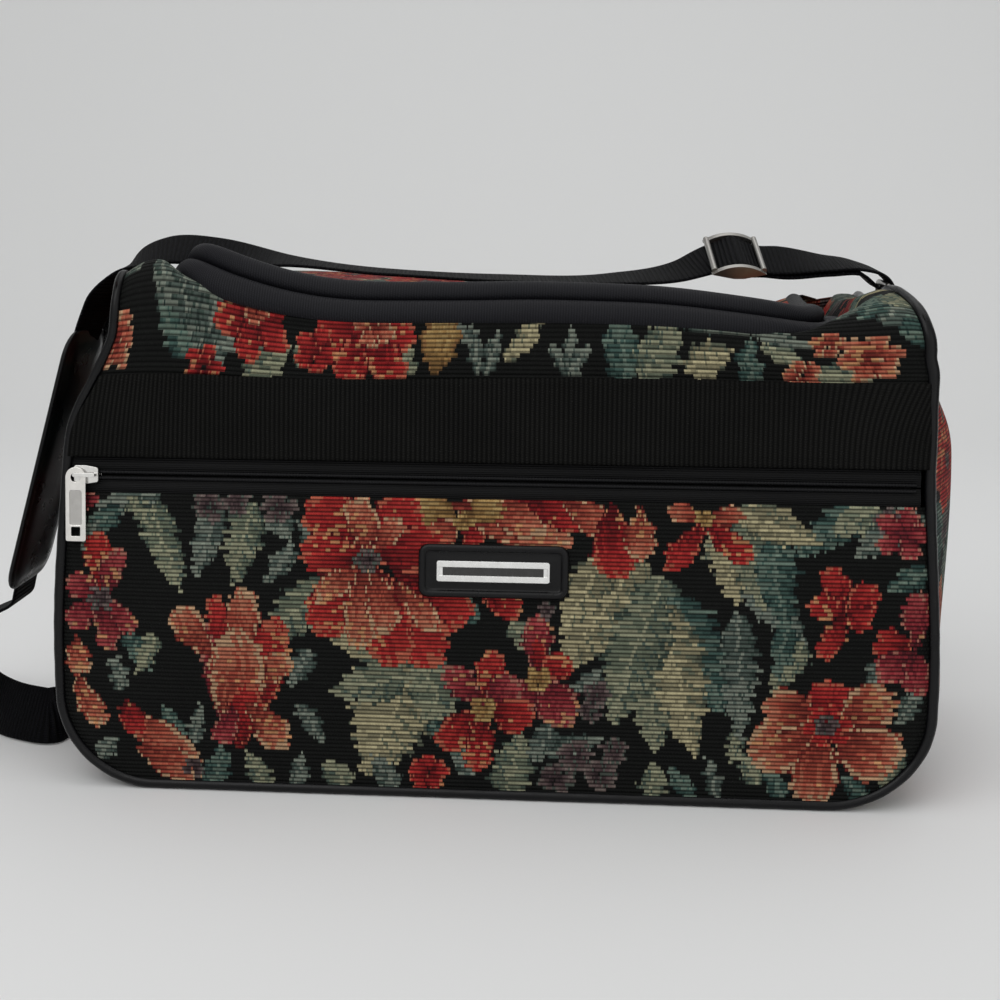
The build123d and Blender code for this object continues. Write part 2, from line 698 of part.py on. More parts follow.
# Shoulder pad: padded vinyl on the falling part of the strap, which runs through its tunnel
pad_top = Vector(-shoulder_half_width - pad_top_out, left_drop_y, surround_height - pad_top_drop)
pad_bottom = Vector(-shoulder_half_width - pad_bottom_out, left_drop_y, surround_height - pad_bottom_drop)
pad_fall = (pad_bottom - pad_top).normalized()
pad_plane = Plane(origin=(pad_top + pad_bottom) / 2, x_dir=pad_fall, z_dir=level.cross(pad_fall))
pad_length = (pad_bottom - pad_top).length
with BuildPart() as shoulder_pad:
    with BuildSketch(pad_plane):
        RectangleRounded(pad_length, pad_width, pad_corner)
    extrude(amount=pad_thickness / 2, both=True)
    fillet(edges(), pad_thickness / 3)
    with BuildSketch(pad_plane):
        Rectangle(pad_length + lap, strap_width + 2 * strap_clearance)
    extrude(amount=strap_half + strap_clearance, both=True, mode=Mode.SUBTRACT)
finish(shoulder_pad, "shoulder_pad")

# The strap's way, as points of its middle line with the direction across it
hem_radius = buckle_core + strap_half + strap_slack
main_out = buckle_arch - buckle_rod - strap_half - strap_slack
fixed_out = main_out - strap_thickness - strap_slack
crown_out = hem_radius + strap_thickness + strap_slack
right_bar = tab_axis + right_ring_reach
left_bar = left_axis + left_ring_reach
wrap_radius = ring_wire + strap_half + strap_slack
loop_run = [(on_buckle(2 * buckle_reach, (fixed_out + main_out) / 2), buckle_tilt),
            (over_lid(right_bar.X - strap_width, buckle_rise), buckle_tilt / 2),
            (over_lid(right_bar.X - strap_width / 2, buckle_rise - strap_thickness), buckle_tilt / 4)]
loop_gaps = [strap_half + strap_slack, strap_thickness, wrap_radius - seam_gap]
loop_end = (right_bar - loop_run[-1][0]).normalized()
loop_up = loop_end.cross(level)
quarter = sqrt(2) / 2

hem_shares = [(0.6, 0.8), (0, 1), (-quarter, quarter), (-1, 0), (-quarter, -quarter), (0, -1)]
route = [(on_buckle(hem_radius * a, hem_radius * b), buckle_across) for a, b in hem_shares]
fixed_shares = (0.5, 1)
route += [(on_buckle(buckle_reach * a, fixed_out), buckle_across) for a in fixed_shares]
route += [(point - upright * gap, tilted(angle)) for (point, angle), gap in zip(loop_run, loop_gaps)]
route += [(right_bar + (loop_end * a + loop_up * b) * wrap_radius, level)
          for a, b in [(0, -1), (quarter, -quarter), (1, 0), (quarter, quarter), (0, 1)]]
route += [(point + upright * gap, tilted(angle))
          for (point, angle), gap in zip(reversed(loop_run), reversed(loop_gaps))]
wave_shares = [(1, 0), (0.5, 0.55), (0, 1), (-0.5, 0.55), (-1, 0)]
route += [(on_buckle(buckle_reach * a, main_out + (crown_out - main_out) * b), buckle_across)
          for a, b in wave_shares]

# Over the lid: share of the half width, rise above the lid in strap thicknesses, tilt in degrees
lid_route_shares = [(0.45, 5.6, 16), (0.27, 2.4, 6), (0.0, 0.9, 0), (-0.28, 0.9, 0), (-0.51, 1.6, 0),
                    (-0.7, 3.4, 0), (-0.82, 3.6, 0), (-0.9, 2.4, 0)]
route += [(over_lid(seam_half_width * x, strap_thickness * rise), tilted(angle))
          for x, rise, angle in lid_route_shares]
fall_start = Vector(-shoulder_half_width, left_drop_y, surround_height)
route += [(fall_start + Vector(-pad_thickness, 0, pad_thickness), level)]
pad_stops = [-pad_run_out - strap_clearance, -lap, pad_length / 3, pad_length * 2 / 3,
             pad_length + lap, pad_length + pad_run_out]
route += [(pad_top + pad_fall * stop, level) for stop in pad_stops]

# The slack behind the bag's left end: shares of the half width, half depth and strap width
floor_route_shares = [
    (-1.26, -0.23, 2.36, (0, 1, 0)), (-1.31, -0.23, 2.20, (0, 1, 0)),
    (-1.37, -0.23, 1.92, (0, 1, 0)), (-1.45, -0.19, 1.41, (0, 0.92, 0.38)),
    (-1.52, -0.08, 0.92, (0, 0.7, 0.7)), (-1.585, 0.08, 0.63, (0, 0.35, 0.93)),
    (-1.613, 0.27, 0.53, (0, 0, 1)), (-1.576, 0.42, 0.52, (0, 0, 1)), (-1.50, 0.44, 0.52, (0, 0, 1)),
    (-1.438, 0.316, 0.52, (0, 0, 1)), (-1.382, 0.084, 0.51, (0, 0.2, 0.97)),
    (-1.313, -0.15, 0.47, (0, 0.5, 0.86)), (-1.217, -0.295, 0.47, (0, 0.5, 0.86)),
    (-1.138, -0.337, 0.48, (0.1, 0.4, 0.9)), (-1.106, -0.23, 0.51, (0.1, 0.1, 0.97)),
    (-1.111, 0.0, 0.51, (-0.3, 0, 0.95)), (-1.12, 0.21, 0.40, (-0.7, 0, 0.7)),
    (-1.124, 0.4, 0.10, (-1, 0, 0.1)), (-1.129, 0.526, 0.17, (-1, 0, 0)),
    (-1.134, 0.59, 0.62, (-1, 0, 0))]
route += [(Vector(x * seam_half_width, y * half_depth, z * strap_width), Vector(*across))
          for x, y, z, across in floor_route_shares]

# The rise to the left ring: shares of the half width, half depth and height
riser_route_shares = [
    (-1.138, 0.568, 0.203, (-0.92, 0.38, 0)), (-1.129, 0.495, 0.386, (-0.6, 0.8, 0)),
    (-1.106, 0.41, 0.59, (-0.25, 0.97, 0)), (-1.088, 0.347, 0.752, (0, 1, 0)),
    (-1.046, 0.321, 0.862, (0, 1, 0))]
route += [(Vector(x * seam_half_width, y * half_depth, z * surround_height), Vector(*across))
          for x, y, z, across in riser_route_shares]
rise_end = (left_bar - route[-1][0]).normalized()
rise_out = level.cross(rise_end) * -1
route += [(left_bar + (rise_end * a + rise_out * b) * wrap_radius, level)
          for a, b in [(0, 1), (quarter, quarter), (1, 0), (quarter, -quarter), (0, -1)]]
route += [(left_bar - rise_end * (strap_width / 2) - rise_out * (strap_half + strap_slack), level)]


def heading(before, here, after):
    """Direction of a smooth route at a point, from its neighbours and their distances."""
    back = (here - before).length
    ahead = (after - here).length
    return (here - before) / back - (after - before) / (back + ahead) + (after - here) / ahead


points = [point for point, _ in route]
padded = [points[0] * 2 - points[1], *points, points[-1] * 2 - points[-2]]
headings = [heading(*padded[i:i + 3]) for i in range(len(points))]
step_shares = (0, 0.5)
stations = []
for i in range(len(points) - 1):
    reach = (points[i + 1] - points[i]).length
    for share in step_shares:
        near = 1 - share
        point = (points[i] * (near * near * (1 + 2 * share)) + points[i + 1] * (share * share * (1 + 2 * near))
                 + (headings[i] * near - headings[i + 1] * share) * (reach * share * near))
        stations.append((point, route[i][1] * near + route[i + 1][1] * share))
stations.append(route[-1])

with BuildPart() as shoulder_strap:
    for i, (point, across) in enumerate(stations):
        ahead = stations[min(i + 1, len(stations) - 1)][0]
        behind = stations[max(i - 1, 0)][0]
        forward = (ahead - behind).normalized()
        with BuildSketch(Plane(origin=point, x_dir=across - forward * across.dot(forward), z_dir=forward)):
            Rectangle(strap_width, strap_thickness)
    loft(ruled=True)
finish(shoulder_strap, "shoulder_strap")
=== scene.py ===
import math

import bpy
import numpy as np
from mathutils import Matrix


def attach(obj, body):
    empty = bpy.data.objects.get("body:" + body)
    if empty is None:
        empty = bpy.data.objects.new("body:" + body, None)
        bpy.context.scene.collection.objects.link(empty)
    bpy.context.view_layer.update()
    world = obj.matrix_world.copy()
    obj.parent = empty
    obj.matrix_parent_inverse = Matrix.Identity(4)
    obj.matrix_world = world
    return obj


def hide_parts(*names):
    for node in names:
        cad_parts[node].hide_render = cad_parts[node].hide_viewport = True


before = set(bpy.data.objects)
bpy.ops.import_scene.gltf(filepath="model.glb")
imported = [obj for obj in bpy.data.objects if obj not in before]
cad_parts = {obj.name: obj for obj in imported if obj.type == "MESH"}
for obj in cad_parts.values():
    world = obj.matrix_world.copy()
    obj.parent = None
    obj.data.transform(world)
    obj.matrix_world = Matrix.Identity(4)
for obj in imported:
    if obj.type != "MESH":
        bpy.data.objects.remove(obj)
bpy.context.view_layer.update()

# Pocket panel: floral jacquard below the pocket zip, woven in ribs of about 2 mm. It is a height field over
# the leaning front that bellies a little, tucks under the piping and is hemmed along the zip.
# Lengths are in millimetres; a front point is (across, up the slope, outward).
MM = 0.001
LEAN = math.radians(8)
OUTWARD = (0, -math.cos(LEAN), math.sin(LEAN))
HALF_DEPTH, TOP, SHOULDER, FOOT = 95.0, 246.0, 200.0, 217.0
BEND_START, BEND_RADIUS = 234.51, 16.0
ZIP_LOW, ZIP_MID, ZIP_HIGH = 153.2, 162.5, 171.8
BADGE_X, BADGE_S = 4.0, 117.0
# Radius of the piping, depth of its centre line below the cloth's face, and how far a cell may pass a seam
BEAD, SINK, TUCK = 2.6, 1.25, 0.4
# Rib of the weave and even step of a sampled path
RIB, STEP = 2.05, 2.0
# Soft form of the whole bag, as middle, reach and push of each puff: shoulders, right end, top, lid and feet
PUFFS = [
    ((-170, -48, 256), (58, 40, 38), (4, -1, 22)),
    ((206, -60, 228), (32, 40, 30), (17, 0, 0)),
    ((198, -18, 250), (23, 36, 20), (0, 0, 14)),
    ((233, 10, 190), (40, 60, 44), (7, 0, 0)),
    ((228, 0, 120), (50, 70, 80), (6, 0, 0)),
    ((70, -54, 247), (130, 42, 25), (0, -1, 6)),
    ((172, -35, 252), (52, 50, 30), (0, 0, -8)),
    ((115, 62, 250), (62, 70, 45), (0, 0, -18)),
    ((40, 72, 252), (60, 66, 45), (0, 0, -10)),
    ((-206, -60, 238), (38, 45, 42), (8, 0, 0)),
    ((-222, -66, 80), (40, 70, 80), (-6, 0, 0)),
    ((222, -66, 60), (40, 70, 80), (7, 0, 0)),
]


def smooth(low, high, value):
    """0 below low and 1 above high, with 3 t^2 - 2 t^3 between."""
    t = np.clip((value - low) / (high - low), 0, 1)
    return t * t * (3 - 2 * t)


def front(x, s, n):
    """Point of the leaning front: x across, s up the slope and n outward from the cloth's face."""
    x, s, n = np.broadcast_arrays(x, s, n)
    return np.stack([x, -HALF_DEPTH + s * math.sin(LEAN) - n * math.cos(LEAN),
                     s * math.cos(LEAN) + n * math.sin(LEAN)], -1).astype(float)


def settle(points, puffs=PUFFS):
    """Soft sag of the bag: each puff adds its push times exp(-(distance / reach)^2)."""
    moved = points.astype(float).copy()
    for centre, reach, push in puffs:
        share = np.exp(-np.sum(((points - centre) / np.array(reach, float)) ** 2, -1))
        moved += share[..., None] * np.array(push, float)
    return moved


def run_length(path):
    """Length of a path from its start to each of its points: the running sum of its steps."""
    return np.append(0, np.cumsum(np.linalg.norm(np.diff(path, axis=0), axis=1)))


def resampled(path, count):
    """The same path with a set number of points, even by arc length."""
    length = run_length(path)
    even = np.linspace(0, length[-1], count)
    return np.stack([np.interp(even, length, c) for c in path.T], -1)


def rounded(points, radii, step=STEP):
    """Path along straight runs joined by tangent arcs, sampled evenly by arc length."""
    points = [np.array(p, float) for p in points]
    path = [points[0]]
    for before, corner, after, radius in zip(points, points[1:], points[2:], radii):
        a, b = before - corner, after - corner
        a, b = a / np.linalg.norm(a), b / np.linalg.norm(b)
        half = math.acos(np.clip(a @ b, -1, 1)) / 2
        centre = corner + (a + b) / np.linalg.norm(a + b) * radius / math.sin(half)
        start, end = (corner + leg * radius / math.tan(half) - centre for leg in (a, b))
        turn = math.pi - 2 * half
        for share in np.linspace(0, 1, 25):
            arm = start * math.sin((1 - share) * turn) + end * math.sin(share * turn)
            path.append(centre + arm / math.sin(turn))
    path = np.array(path + [points[-1]])
    return resampled(path, int(run_length(path)[-1] / step) + 1)


def end_line(top, low, inner):
    """Corners of a line down one end of the bag: by the shoulder and the hip to the foot, and in under it."""
    return [(SHOULDER, top), (SHOULDER, 226.5), (215, 190), (FOOT, low), (inner, low)]


# Half of a panel's seam, from the top of its end to the middle of the base
FRONT_END, BACK_END, END_RADII = end_line(231.5, 2.9, 0), end_line(233.75, 2.7, 0), [12, 60, 45]
FRONT_HALF, BACK_HALF = rounded(FRONT_END, END_RADII, 1), rounded(BACK_END, END_RADII, 1)


def seam_half(s, half=FRONT_HALF):
    """Half width of a panel at a height, read from its seam."""
    side = half[half[:, 1] > half[-1, 1] + 0.02][::-1]
    return np.where(s < half[-1, 1] - 0.9, -1, np.interp(s, side[:, 1], side[:, 0]))


def rgb(red, green, blue):
    """Linear colour from 8-bit display values."""
    c = np.array([red, green, blue]) / 255
    return np.where(c < 0.04045, c / 12.92, ((c + 0.055) / 1.055) ** 2.4)


GROUND = rgb(11, 12, 11)
# Threads of each motif: deep, body, light and edge
THREADS = {
    "red": (rgb(70, 12, 16), rgb(120, 26, 27), rgb(148, 42, 38), rgb(152, 78, 60)),
    "orange": (rgb(92, 32, 27), rgb(134, 61, 47), rgb(156, 96, 74), rgb(158, 126, 98)),
    "pink": (rgb(66, 20, 26), rgb(108, 32, 38), rgb(136, 58, 58), rgb(138, 88, 76)),
    "gold": (rgb(90, 66, 38), rgb(128, 100, 60), rgb(152, 128, 84), rgb(116, 84, 52)),
    "mauve": (rgb(42, 32, 34), rgb(72, 58, 58), rgb(102, 92, 87), rgb(62, 68, 62)),
    "cream": (rgb(70, 74, 62), rgb(118, 112, 88), rgb(150, 142, 112), rgb(88, 92, 76)),
    "sage": (rgb(54, 64, 56), rgb(92, 98, 82), rgb(124, 124, 102), rgb(66, 78, 70)),
    "teal": (rgb(30, 46, 44), rgb(54, 74, 68), rgb(86, 100, 90), rgb(38, 56, 52)),
    "grey": (rgb(42, 52, 48), rgb(70, 80, 74), rgb(104, 110, 100), rgb(50, 62, 56)),
}
PETALS = ("red", "orange", "pink", "gold", "mauve")


def speckle(x, y, seed):
    """Even pseudo-random value for each cell: the fraction of a large multiple of a sine."""
    return np.modf(np.abs(np.sin(x * 12.9898 + y * 78.233 + seed * 37.719)) * 43758.5453)[0]


def paint_blade(colour, x, y, blade):
    """One petal or leaf woven into the colours: inside where the distance from its axis is below
    half * sin(pi t^p)^q, t being the share of the way from base to tip, with teeth and stepped edges."""
    x0, y0, x1, y1, half, name = blade
    length = math.hypot(x1 - x0, y1 - y0)
    reach = length / 2 + half
    near = np.flatnonzero((np.abs(x - (x0 + x1) / 2) < reach) & (np.abs(y - (y0 + y1) / 2) < reach))
    px, py = x[near], y[near]
    petal = name in PETALS
    row = np.floor(py / RIB)
    jog = (speckle(row, np.floor(px / 26), length) - 0.5) * 3.2
    along = ((px - x0 + jog) * (x1 - x0) + (py - y0) * (y1 - y0)) / length ** 2
    across = ((px - x0 + jog) * (y1 - y0) - (py - y0) * (x1 - x0)) / length
    t = np.clip(along, 0, 1)
    shape = half * np.sin(np.pi * t ** (1.5 if petal else 0.72)) ** (0.55 if petal else 0.8)
    teeth = length / 7
    shape *= 1 if petal else 1 + 0.34 * (np.modf(t * teeth + 0.2 * np.sign(across))[0] - 0.5)
    share = np.abs(across) / np.maximum(shape, 1e-6)
    inside = (along > 0) & (along < 1) & (share < 1)
    deep, body, light, edge = THREADS[name]
    streak = speckle(np.floor(across / 1.3), np.floor(t * 3), half)
    if petal:
        tone = np.clip(t * 1.15 - 0.1 + (streak - 0.5) * 0.5, 0, 1)[:, None]
        mix = np.where(tone < 0.5, deep + (body - deep) * tone * 2, body + (light - body) * (tone * 2 - 1))
        rim = ((share > 0.74) & (streak > 0.35)) | ((t > 0.86) & (streak > 0.5))
        mix = np.where(rim[:, None], edge, mix)
        mix = np.where((share > 0.93)[:, None] & (t < 0.7)[:, None], deep, mix)
    else:
        side = (across > 0)[:, None]
        lit = 0.12 + 0.6 * t + 0.25 * side[:, 0]
        bright = (speckle(row, np.floor(px / 17 + row / 2), half) < lit)[:, None]
        veins = np.modf(t * teeth * 0.9 - share * 1.2 + 8)[0] < 0.22
        mix = np.where(bright, light * 0.75 + body * 0.25, body * 0.75 + deep * 0.25)
        mix = np.where((veins & (share < 0.85))[:, None], np.where(side, body, edge), mix)
        mix = np.where((share > 0.8)[:, None] & ~bright, deep, mix)
        mix = np.where((np.abs(across) < 0.8)[:, None], light, mix)
    colour[near[inside]] = mix[inside]


def paint(x, y, blades, rosettes):
    """Colours of the woven cells: leaves, then petals, then whorls of petals, all flecked by the threads."""
    shape = x.shape
    x, y = x.ravel(), y.ravel()
    colour = np.tile(GROUND, (x.size, 1))
    leaves = [b for b in blades if b[5] not in PETALS]
    petals = [b for b in blades if b[5] in PETALS]
    whorls = []
    for cx, cy, r, count, turn, name in rosettes:
        for k in range(count):
            angle = math.radians(turn + 360 * k / count)
            size = r * (0.86 + 0.28 * math.sin(3 * k + cx) ** 2)
            whorls.append((cx, cy, cx + size * math.cos(angle), cy + size * math.sin(angle),
                           max(2.2, 2.2 * r / count), name))
    for blade in leaves + petals + whorls:
        paint_blade(colour, x, y, blade)
    row = np.floor(y / RIB)
    weft = np.where(np.mod(row, 2) == 0, 1.1, 0.84) * (0.9 + 0.2 * speckle(row, 0 * row, 3))
    fleck = 0.88 + 0.24 * speckle(np.floor(x / 2.4), row, 5)
    cluster = np.sin(x / 11 + 2 * np.sin(y / 17)) * np.sin(y / 13 + x / 29)
    glint = speckle(np.floor(x / 2.6 + 0.5 * row), row, 11) > 0.995 - 0.3 * np.clip(cluster, 0, 1)
    glint &= (colour[:, 0] > 2.2 * colour[:, 1]) & (colour[:, 0] > 0.12)
    gilt = colour * 0.45 + rgb(178, 138, 94) * 0.55
    colour = np.where(glint[:, None], gilt, colour) * (weft * fleck)[:, None]
    return colour.reshape(*shape, 3)


def scatter(seed, low, high, gap=46.0):
    """Flowers and leaves of an all-over floral, on a lattice with seeded offsets."""
    rng = np.random.RandomState(seed)
    blades, rosettes = [], []
    greens, reds = ("sage", "cream", "teal", "grey"), ("red", "orange", "pink", "red")
    for i, cx in enumerate(np.arange(low[0], high[0] + gap, gap)):
        for cy in np.arange(low[1] + (i % 2) * gap / 2, high[1] + gap, gap):
            cx1, cy1 = cx + rng.uniform(-9, 9), cy + rng.uniform(-9, 9)
            turn = rng.uniform(0, 360)
            for k in range(4):
                angle = math.radians(turn + rng.uniform(60, 110) * k)
                near, far = rng.uniform(6, 14), rng.uniform(34, 50)
                blades.append((cx1 + near * math.cos(angle), cy1 + near * math.sin(angle),
                               cx1 + far * math.cos(angle), cy1 + far * math.sin(angle),
                               rng.uniform(8, 13), greens[rng.randint(4)]))
            if rng.uniform() < 0.72:
                r, name = rng.uniform(17, 30), reds[rng.randint(4)]
                rosettes += [(cx1, cy1, r, 6, turn, name),
                             (cx1, cy1, r * 0.55, 5, turn + 30, reds[rng.randint(4)]),
                             (cx1, cy1, 5, 5, turn, ("mauve", "gold")[rng.randint(2)])]
            else:
                rosettes += [(cx1 + dx, cy1 + dy, 9, 5, turn, "mauve")
                             for dx, dy in ((0, 0), (11, 6), (2, 13))]
    return blades, rosettes


def new_material(name, rough, shine=0.5):
    """Fresh material with its node tree and its shader, of a roughness and a specular level."""
    material = bpy.data.materials.new(name)
    material.use_nodes = True
    shader = material.node_tree.nodes["Principled BSDF"]
    shader.inputs["Roughness"].default_value = rough
    shader.inputs["Specular IOR Level"].default_value = shine
    return material, material.node_tree, shader


def add_node(tree, kind, *values, operation=None, **named):
    """New shader node whose inputs are set to numbers or linked to sockets, in order or by name."""
    node = tree.nodes.new("ShaderNode" + kind)
    if operation:
        node.operation = operation
    by_name = [(node.inputs[name.replace("_", " ")], value) for name, value in named.items()]
    for socket, value in [*zip(node.inputs, values), *by_name]:
        if isinstance(value, bpy.types.NodeSocket):
            tree.links.new(value, socket)
        else:
            socket.default_value = value
    return node


def calc(tree, operation, *values):
    """Result socket of a maths node on sockets or numbers."""
    return add_node(tree, "Math", *values, operation=operation).outputs[0]


def ramp(tree, value, low, high):
    """Value socket carried from 0..1 to low..high."""
    return add_node(tree, "MapRange", value, To_Min=low, To_Max=high).outputs[0]


def noise(tree, vector, scale, detail):
    """Noise value over a vector socket."""
    return add_node(tree, "TexNoise", Vector=vector, Scale=scale, Detail=detail).outputs[0]


def rib_group():
    """Shared effect: woven ribs. In: place in millimetres, rib pitch and twist pitch. Out: crest, the sine
    of the way across a rib to the power 1.3, and height, the crest with a beat of the thread's twist."""
    group = bpy.data.node_groups.new("woven ribs", "ShaderNodeTree")
    for name, way, kind in (("Place", "INPUT", "Vector"), ("Pitch", "INPUT", "Float"),
                            ("Twist", "INPUT", "Float"), ("Crest", "OUTPUT", "Float"),
                            ("Height", "OUTPUT", "Float")):
        group.interface.new_socket(name, in_out=way, socket_type="NodeSocket" + kind)
    enter, leave = group.nodes.new("NodeGroupInput").outputs, group.nodes.new("NodeGroupOutput").inputs
    axes = add_node(group, "SeparateXYZ", enter["Place"]).outputs
    row = calc(group, "DIVIDE", axes["Y"], enter["Pitch"])
    crest = calc(group, "SINE", calc(group, "MULTIPLY", calc(group, "FRACT", row), math.pi))
    crest = calc(group, "POWER", crest, 1.3)
    ply = calc(group, "DIVIDE", axes["X"], enter["Twist"])
    ply = calc(group, "ADD", ply, calc(group, "MULTIPLY", calc(group, "FLOOR", row), 0.37))
    twist = calc(group, "SINE", calc(group, "MULTIPLY", ply, 2 * math.pi))
    beat = calc(group, "MULTIPLY", calc(group, "MULTIPLY", twist, 0.22), crest)
    group.links.new(crest, leave["Crest"])
    group.links.new(calc(group, "ADD", crest, beat), leave["Height"])
    return group


RIBS = rib_group()


def add_ribs(tree, place, pitch, twist):
    """Crest and height sockets of the woven ribs at a place."""
    node = add_node(tree, "Group")
    node.node_tree = RIBS
    tree.links.new(place, node.inputs["Place"])
    node.inputs["Pitch"].default_value, node.inputs["Twist"].default_value = pitch, twist
    return node.outputs["Crest"], node.outputs["Height"]


def bump(tree, shader, height, distance, strength):
    """Surface relief from a height socket, as deep as a distance in metres."""
    node = add_node(tree, "Bump", Strength=strength, Distance=distance, Height=height)
    tree.links.new(node.outputs[0], shader.inputs["Normal"])


def tint(tree, shader, colour, factor):
    """Base colour of a shader: a colour, as three numbers or a socket, times a value socket."""
    if not isinstance(colour, bpy.types.NodeSocket):
        flat = add_node(tree, "RGB").outputs[0]
        flat.default_value = (*colour, 1)
        colour = flat
    scaled = add_node(tree, "VectorMath", colour, operation="SCALE", Scale=factor)
    tree.links.new(scaled.outputs[0], shader.inputs["Base Color"])


def tapestry_material():
    """Woven colours from the cells, with painted shade between the ribs and painted highlight on their
    crests, and a dull thread sheen.
    """
    material, tree, shader = new_material("tapestry", 0.7, 0.1)
    cells = add_node(tree, "Attribute")
    cells.attribute_name = "weave"
    place = add_node(tree, "UVMap").outputs[0]
    crest, height = add_ribs(tree, place, RIB, 1.5)
    worn = noise(tree, place, 0.05, 3)
    # Painted shade and highlight: the crest darkens the colour between the ribs and brightens it on their
    # crests, times a random worn tone
    shade = calc(tree, "MULTIPLY", ramp(tree, crest, 0.22, 1.3), ramp(tree, worn, 0.8, 1.2))
    tint(tree, shader, cells.outputs["Color"], shade)
    bump(tree, shader, height, 0.0005, 0.9)
    return material


TAPESTRY = tapestry_material()
# The four corners of a grid's quads, in order
CORNERS = np.s_[:-1, :-1], np.s_[:-1, 1:], np.s_[1:, 1:], np.s_[1:, :-1]


def quads_of(grid):
    """Values at the four corners of each quad of a grid."""
    corners = np.stack([grid[c] for c in CORNERS], 2)
    return corners.reshape(-1, *corners.shape[2:])


def cells_of(*grids):
    """Middles of the quads of each grid."""
    return [(a[:-1, :-1] + a[1:, :-1] + a[:-1, 1:] + a[1:, 1:]) / 4 for a in grids]


def piece(name, points, uv, node, material, colour=None, keep=None, ring=False):
    """Mesh of quads over a grid of points that rides the bag and stands for a CAD node. The points and the
    pair of grids uv are in millimetres, colour has one row for each quad, keep says which quads stay, and
    ring closes the columns."""
    index = np.arange(points[..., 0].size).reshape(points.shape[:2])
    if ring:
        index = np.concatenate([index, index[:, :1]], 1)
    quads, uvs = quads_of(index), quads_of(np.stack(uv, -1))
    chosen = np.ones(len(quads), bool) if keep is None else keep.ravel()
    used, corners = np.unique(quads[chosen], return_inverse=True)
    mesh = bpy.data.meshes.new(name)
    mesh.from_pydata((points.reshape(-1, 3)[used] * MM).tolist(), [], corners.reshape(-1, 4).tolist())
    mesh.uv_layers.new(name="UVMap").data.foreach_set("uv", uvs[chosen].astype(np.float32).ravel())
    if colour is not None:
        cells = np.repeat(colour.reshape(-1, 3)[chosen], 4, axis=0)
        cells = np.concatenate([cells, np.ones((len(cells), 1))], 1)
        layer = mesh.color_attributes.new("weave", "FLOAT_COLOR", "CORNER")
        layer.data.foreach_set("color", cells.astype(np.float32).ravel())
    mesh.shade_smooth()
    mesh.materials.append(material)
    obj = bpy.data.objects.new(name, mesh)
    bpy.context.collection.objects.link(obj)
    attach(obj, "bag")
    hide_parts(node)
    return obj


def cloth(name, node, points, u, v, flowers, keep=None, turn=np.s_[:]):
    """Tapestry piece over a grid of points: each quad is painted at the middle of its u and v, and turn is
    the slice of rows and columns that makes the face look outward."""
    colour = paint(*cells_of(u, v), *flowers)
    piece(name, points[turn], (u[turn], v[turn]), node, TAPESTRY, colour[turn],
          None if keep is None else keep[turn])


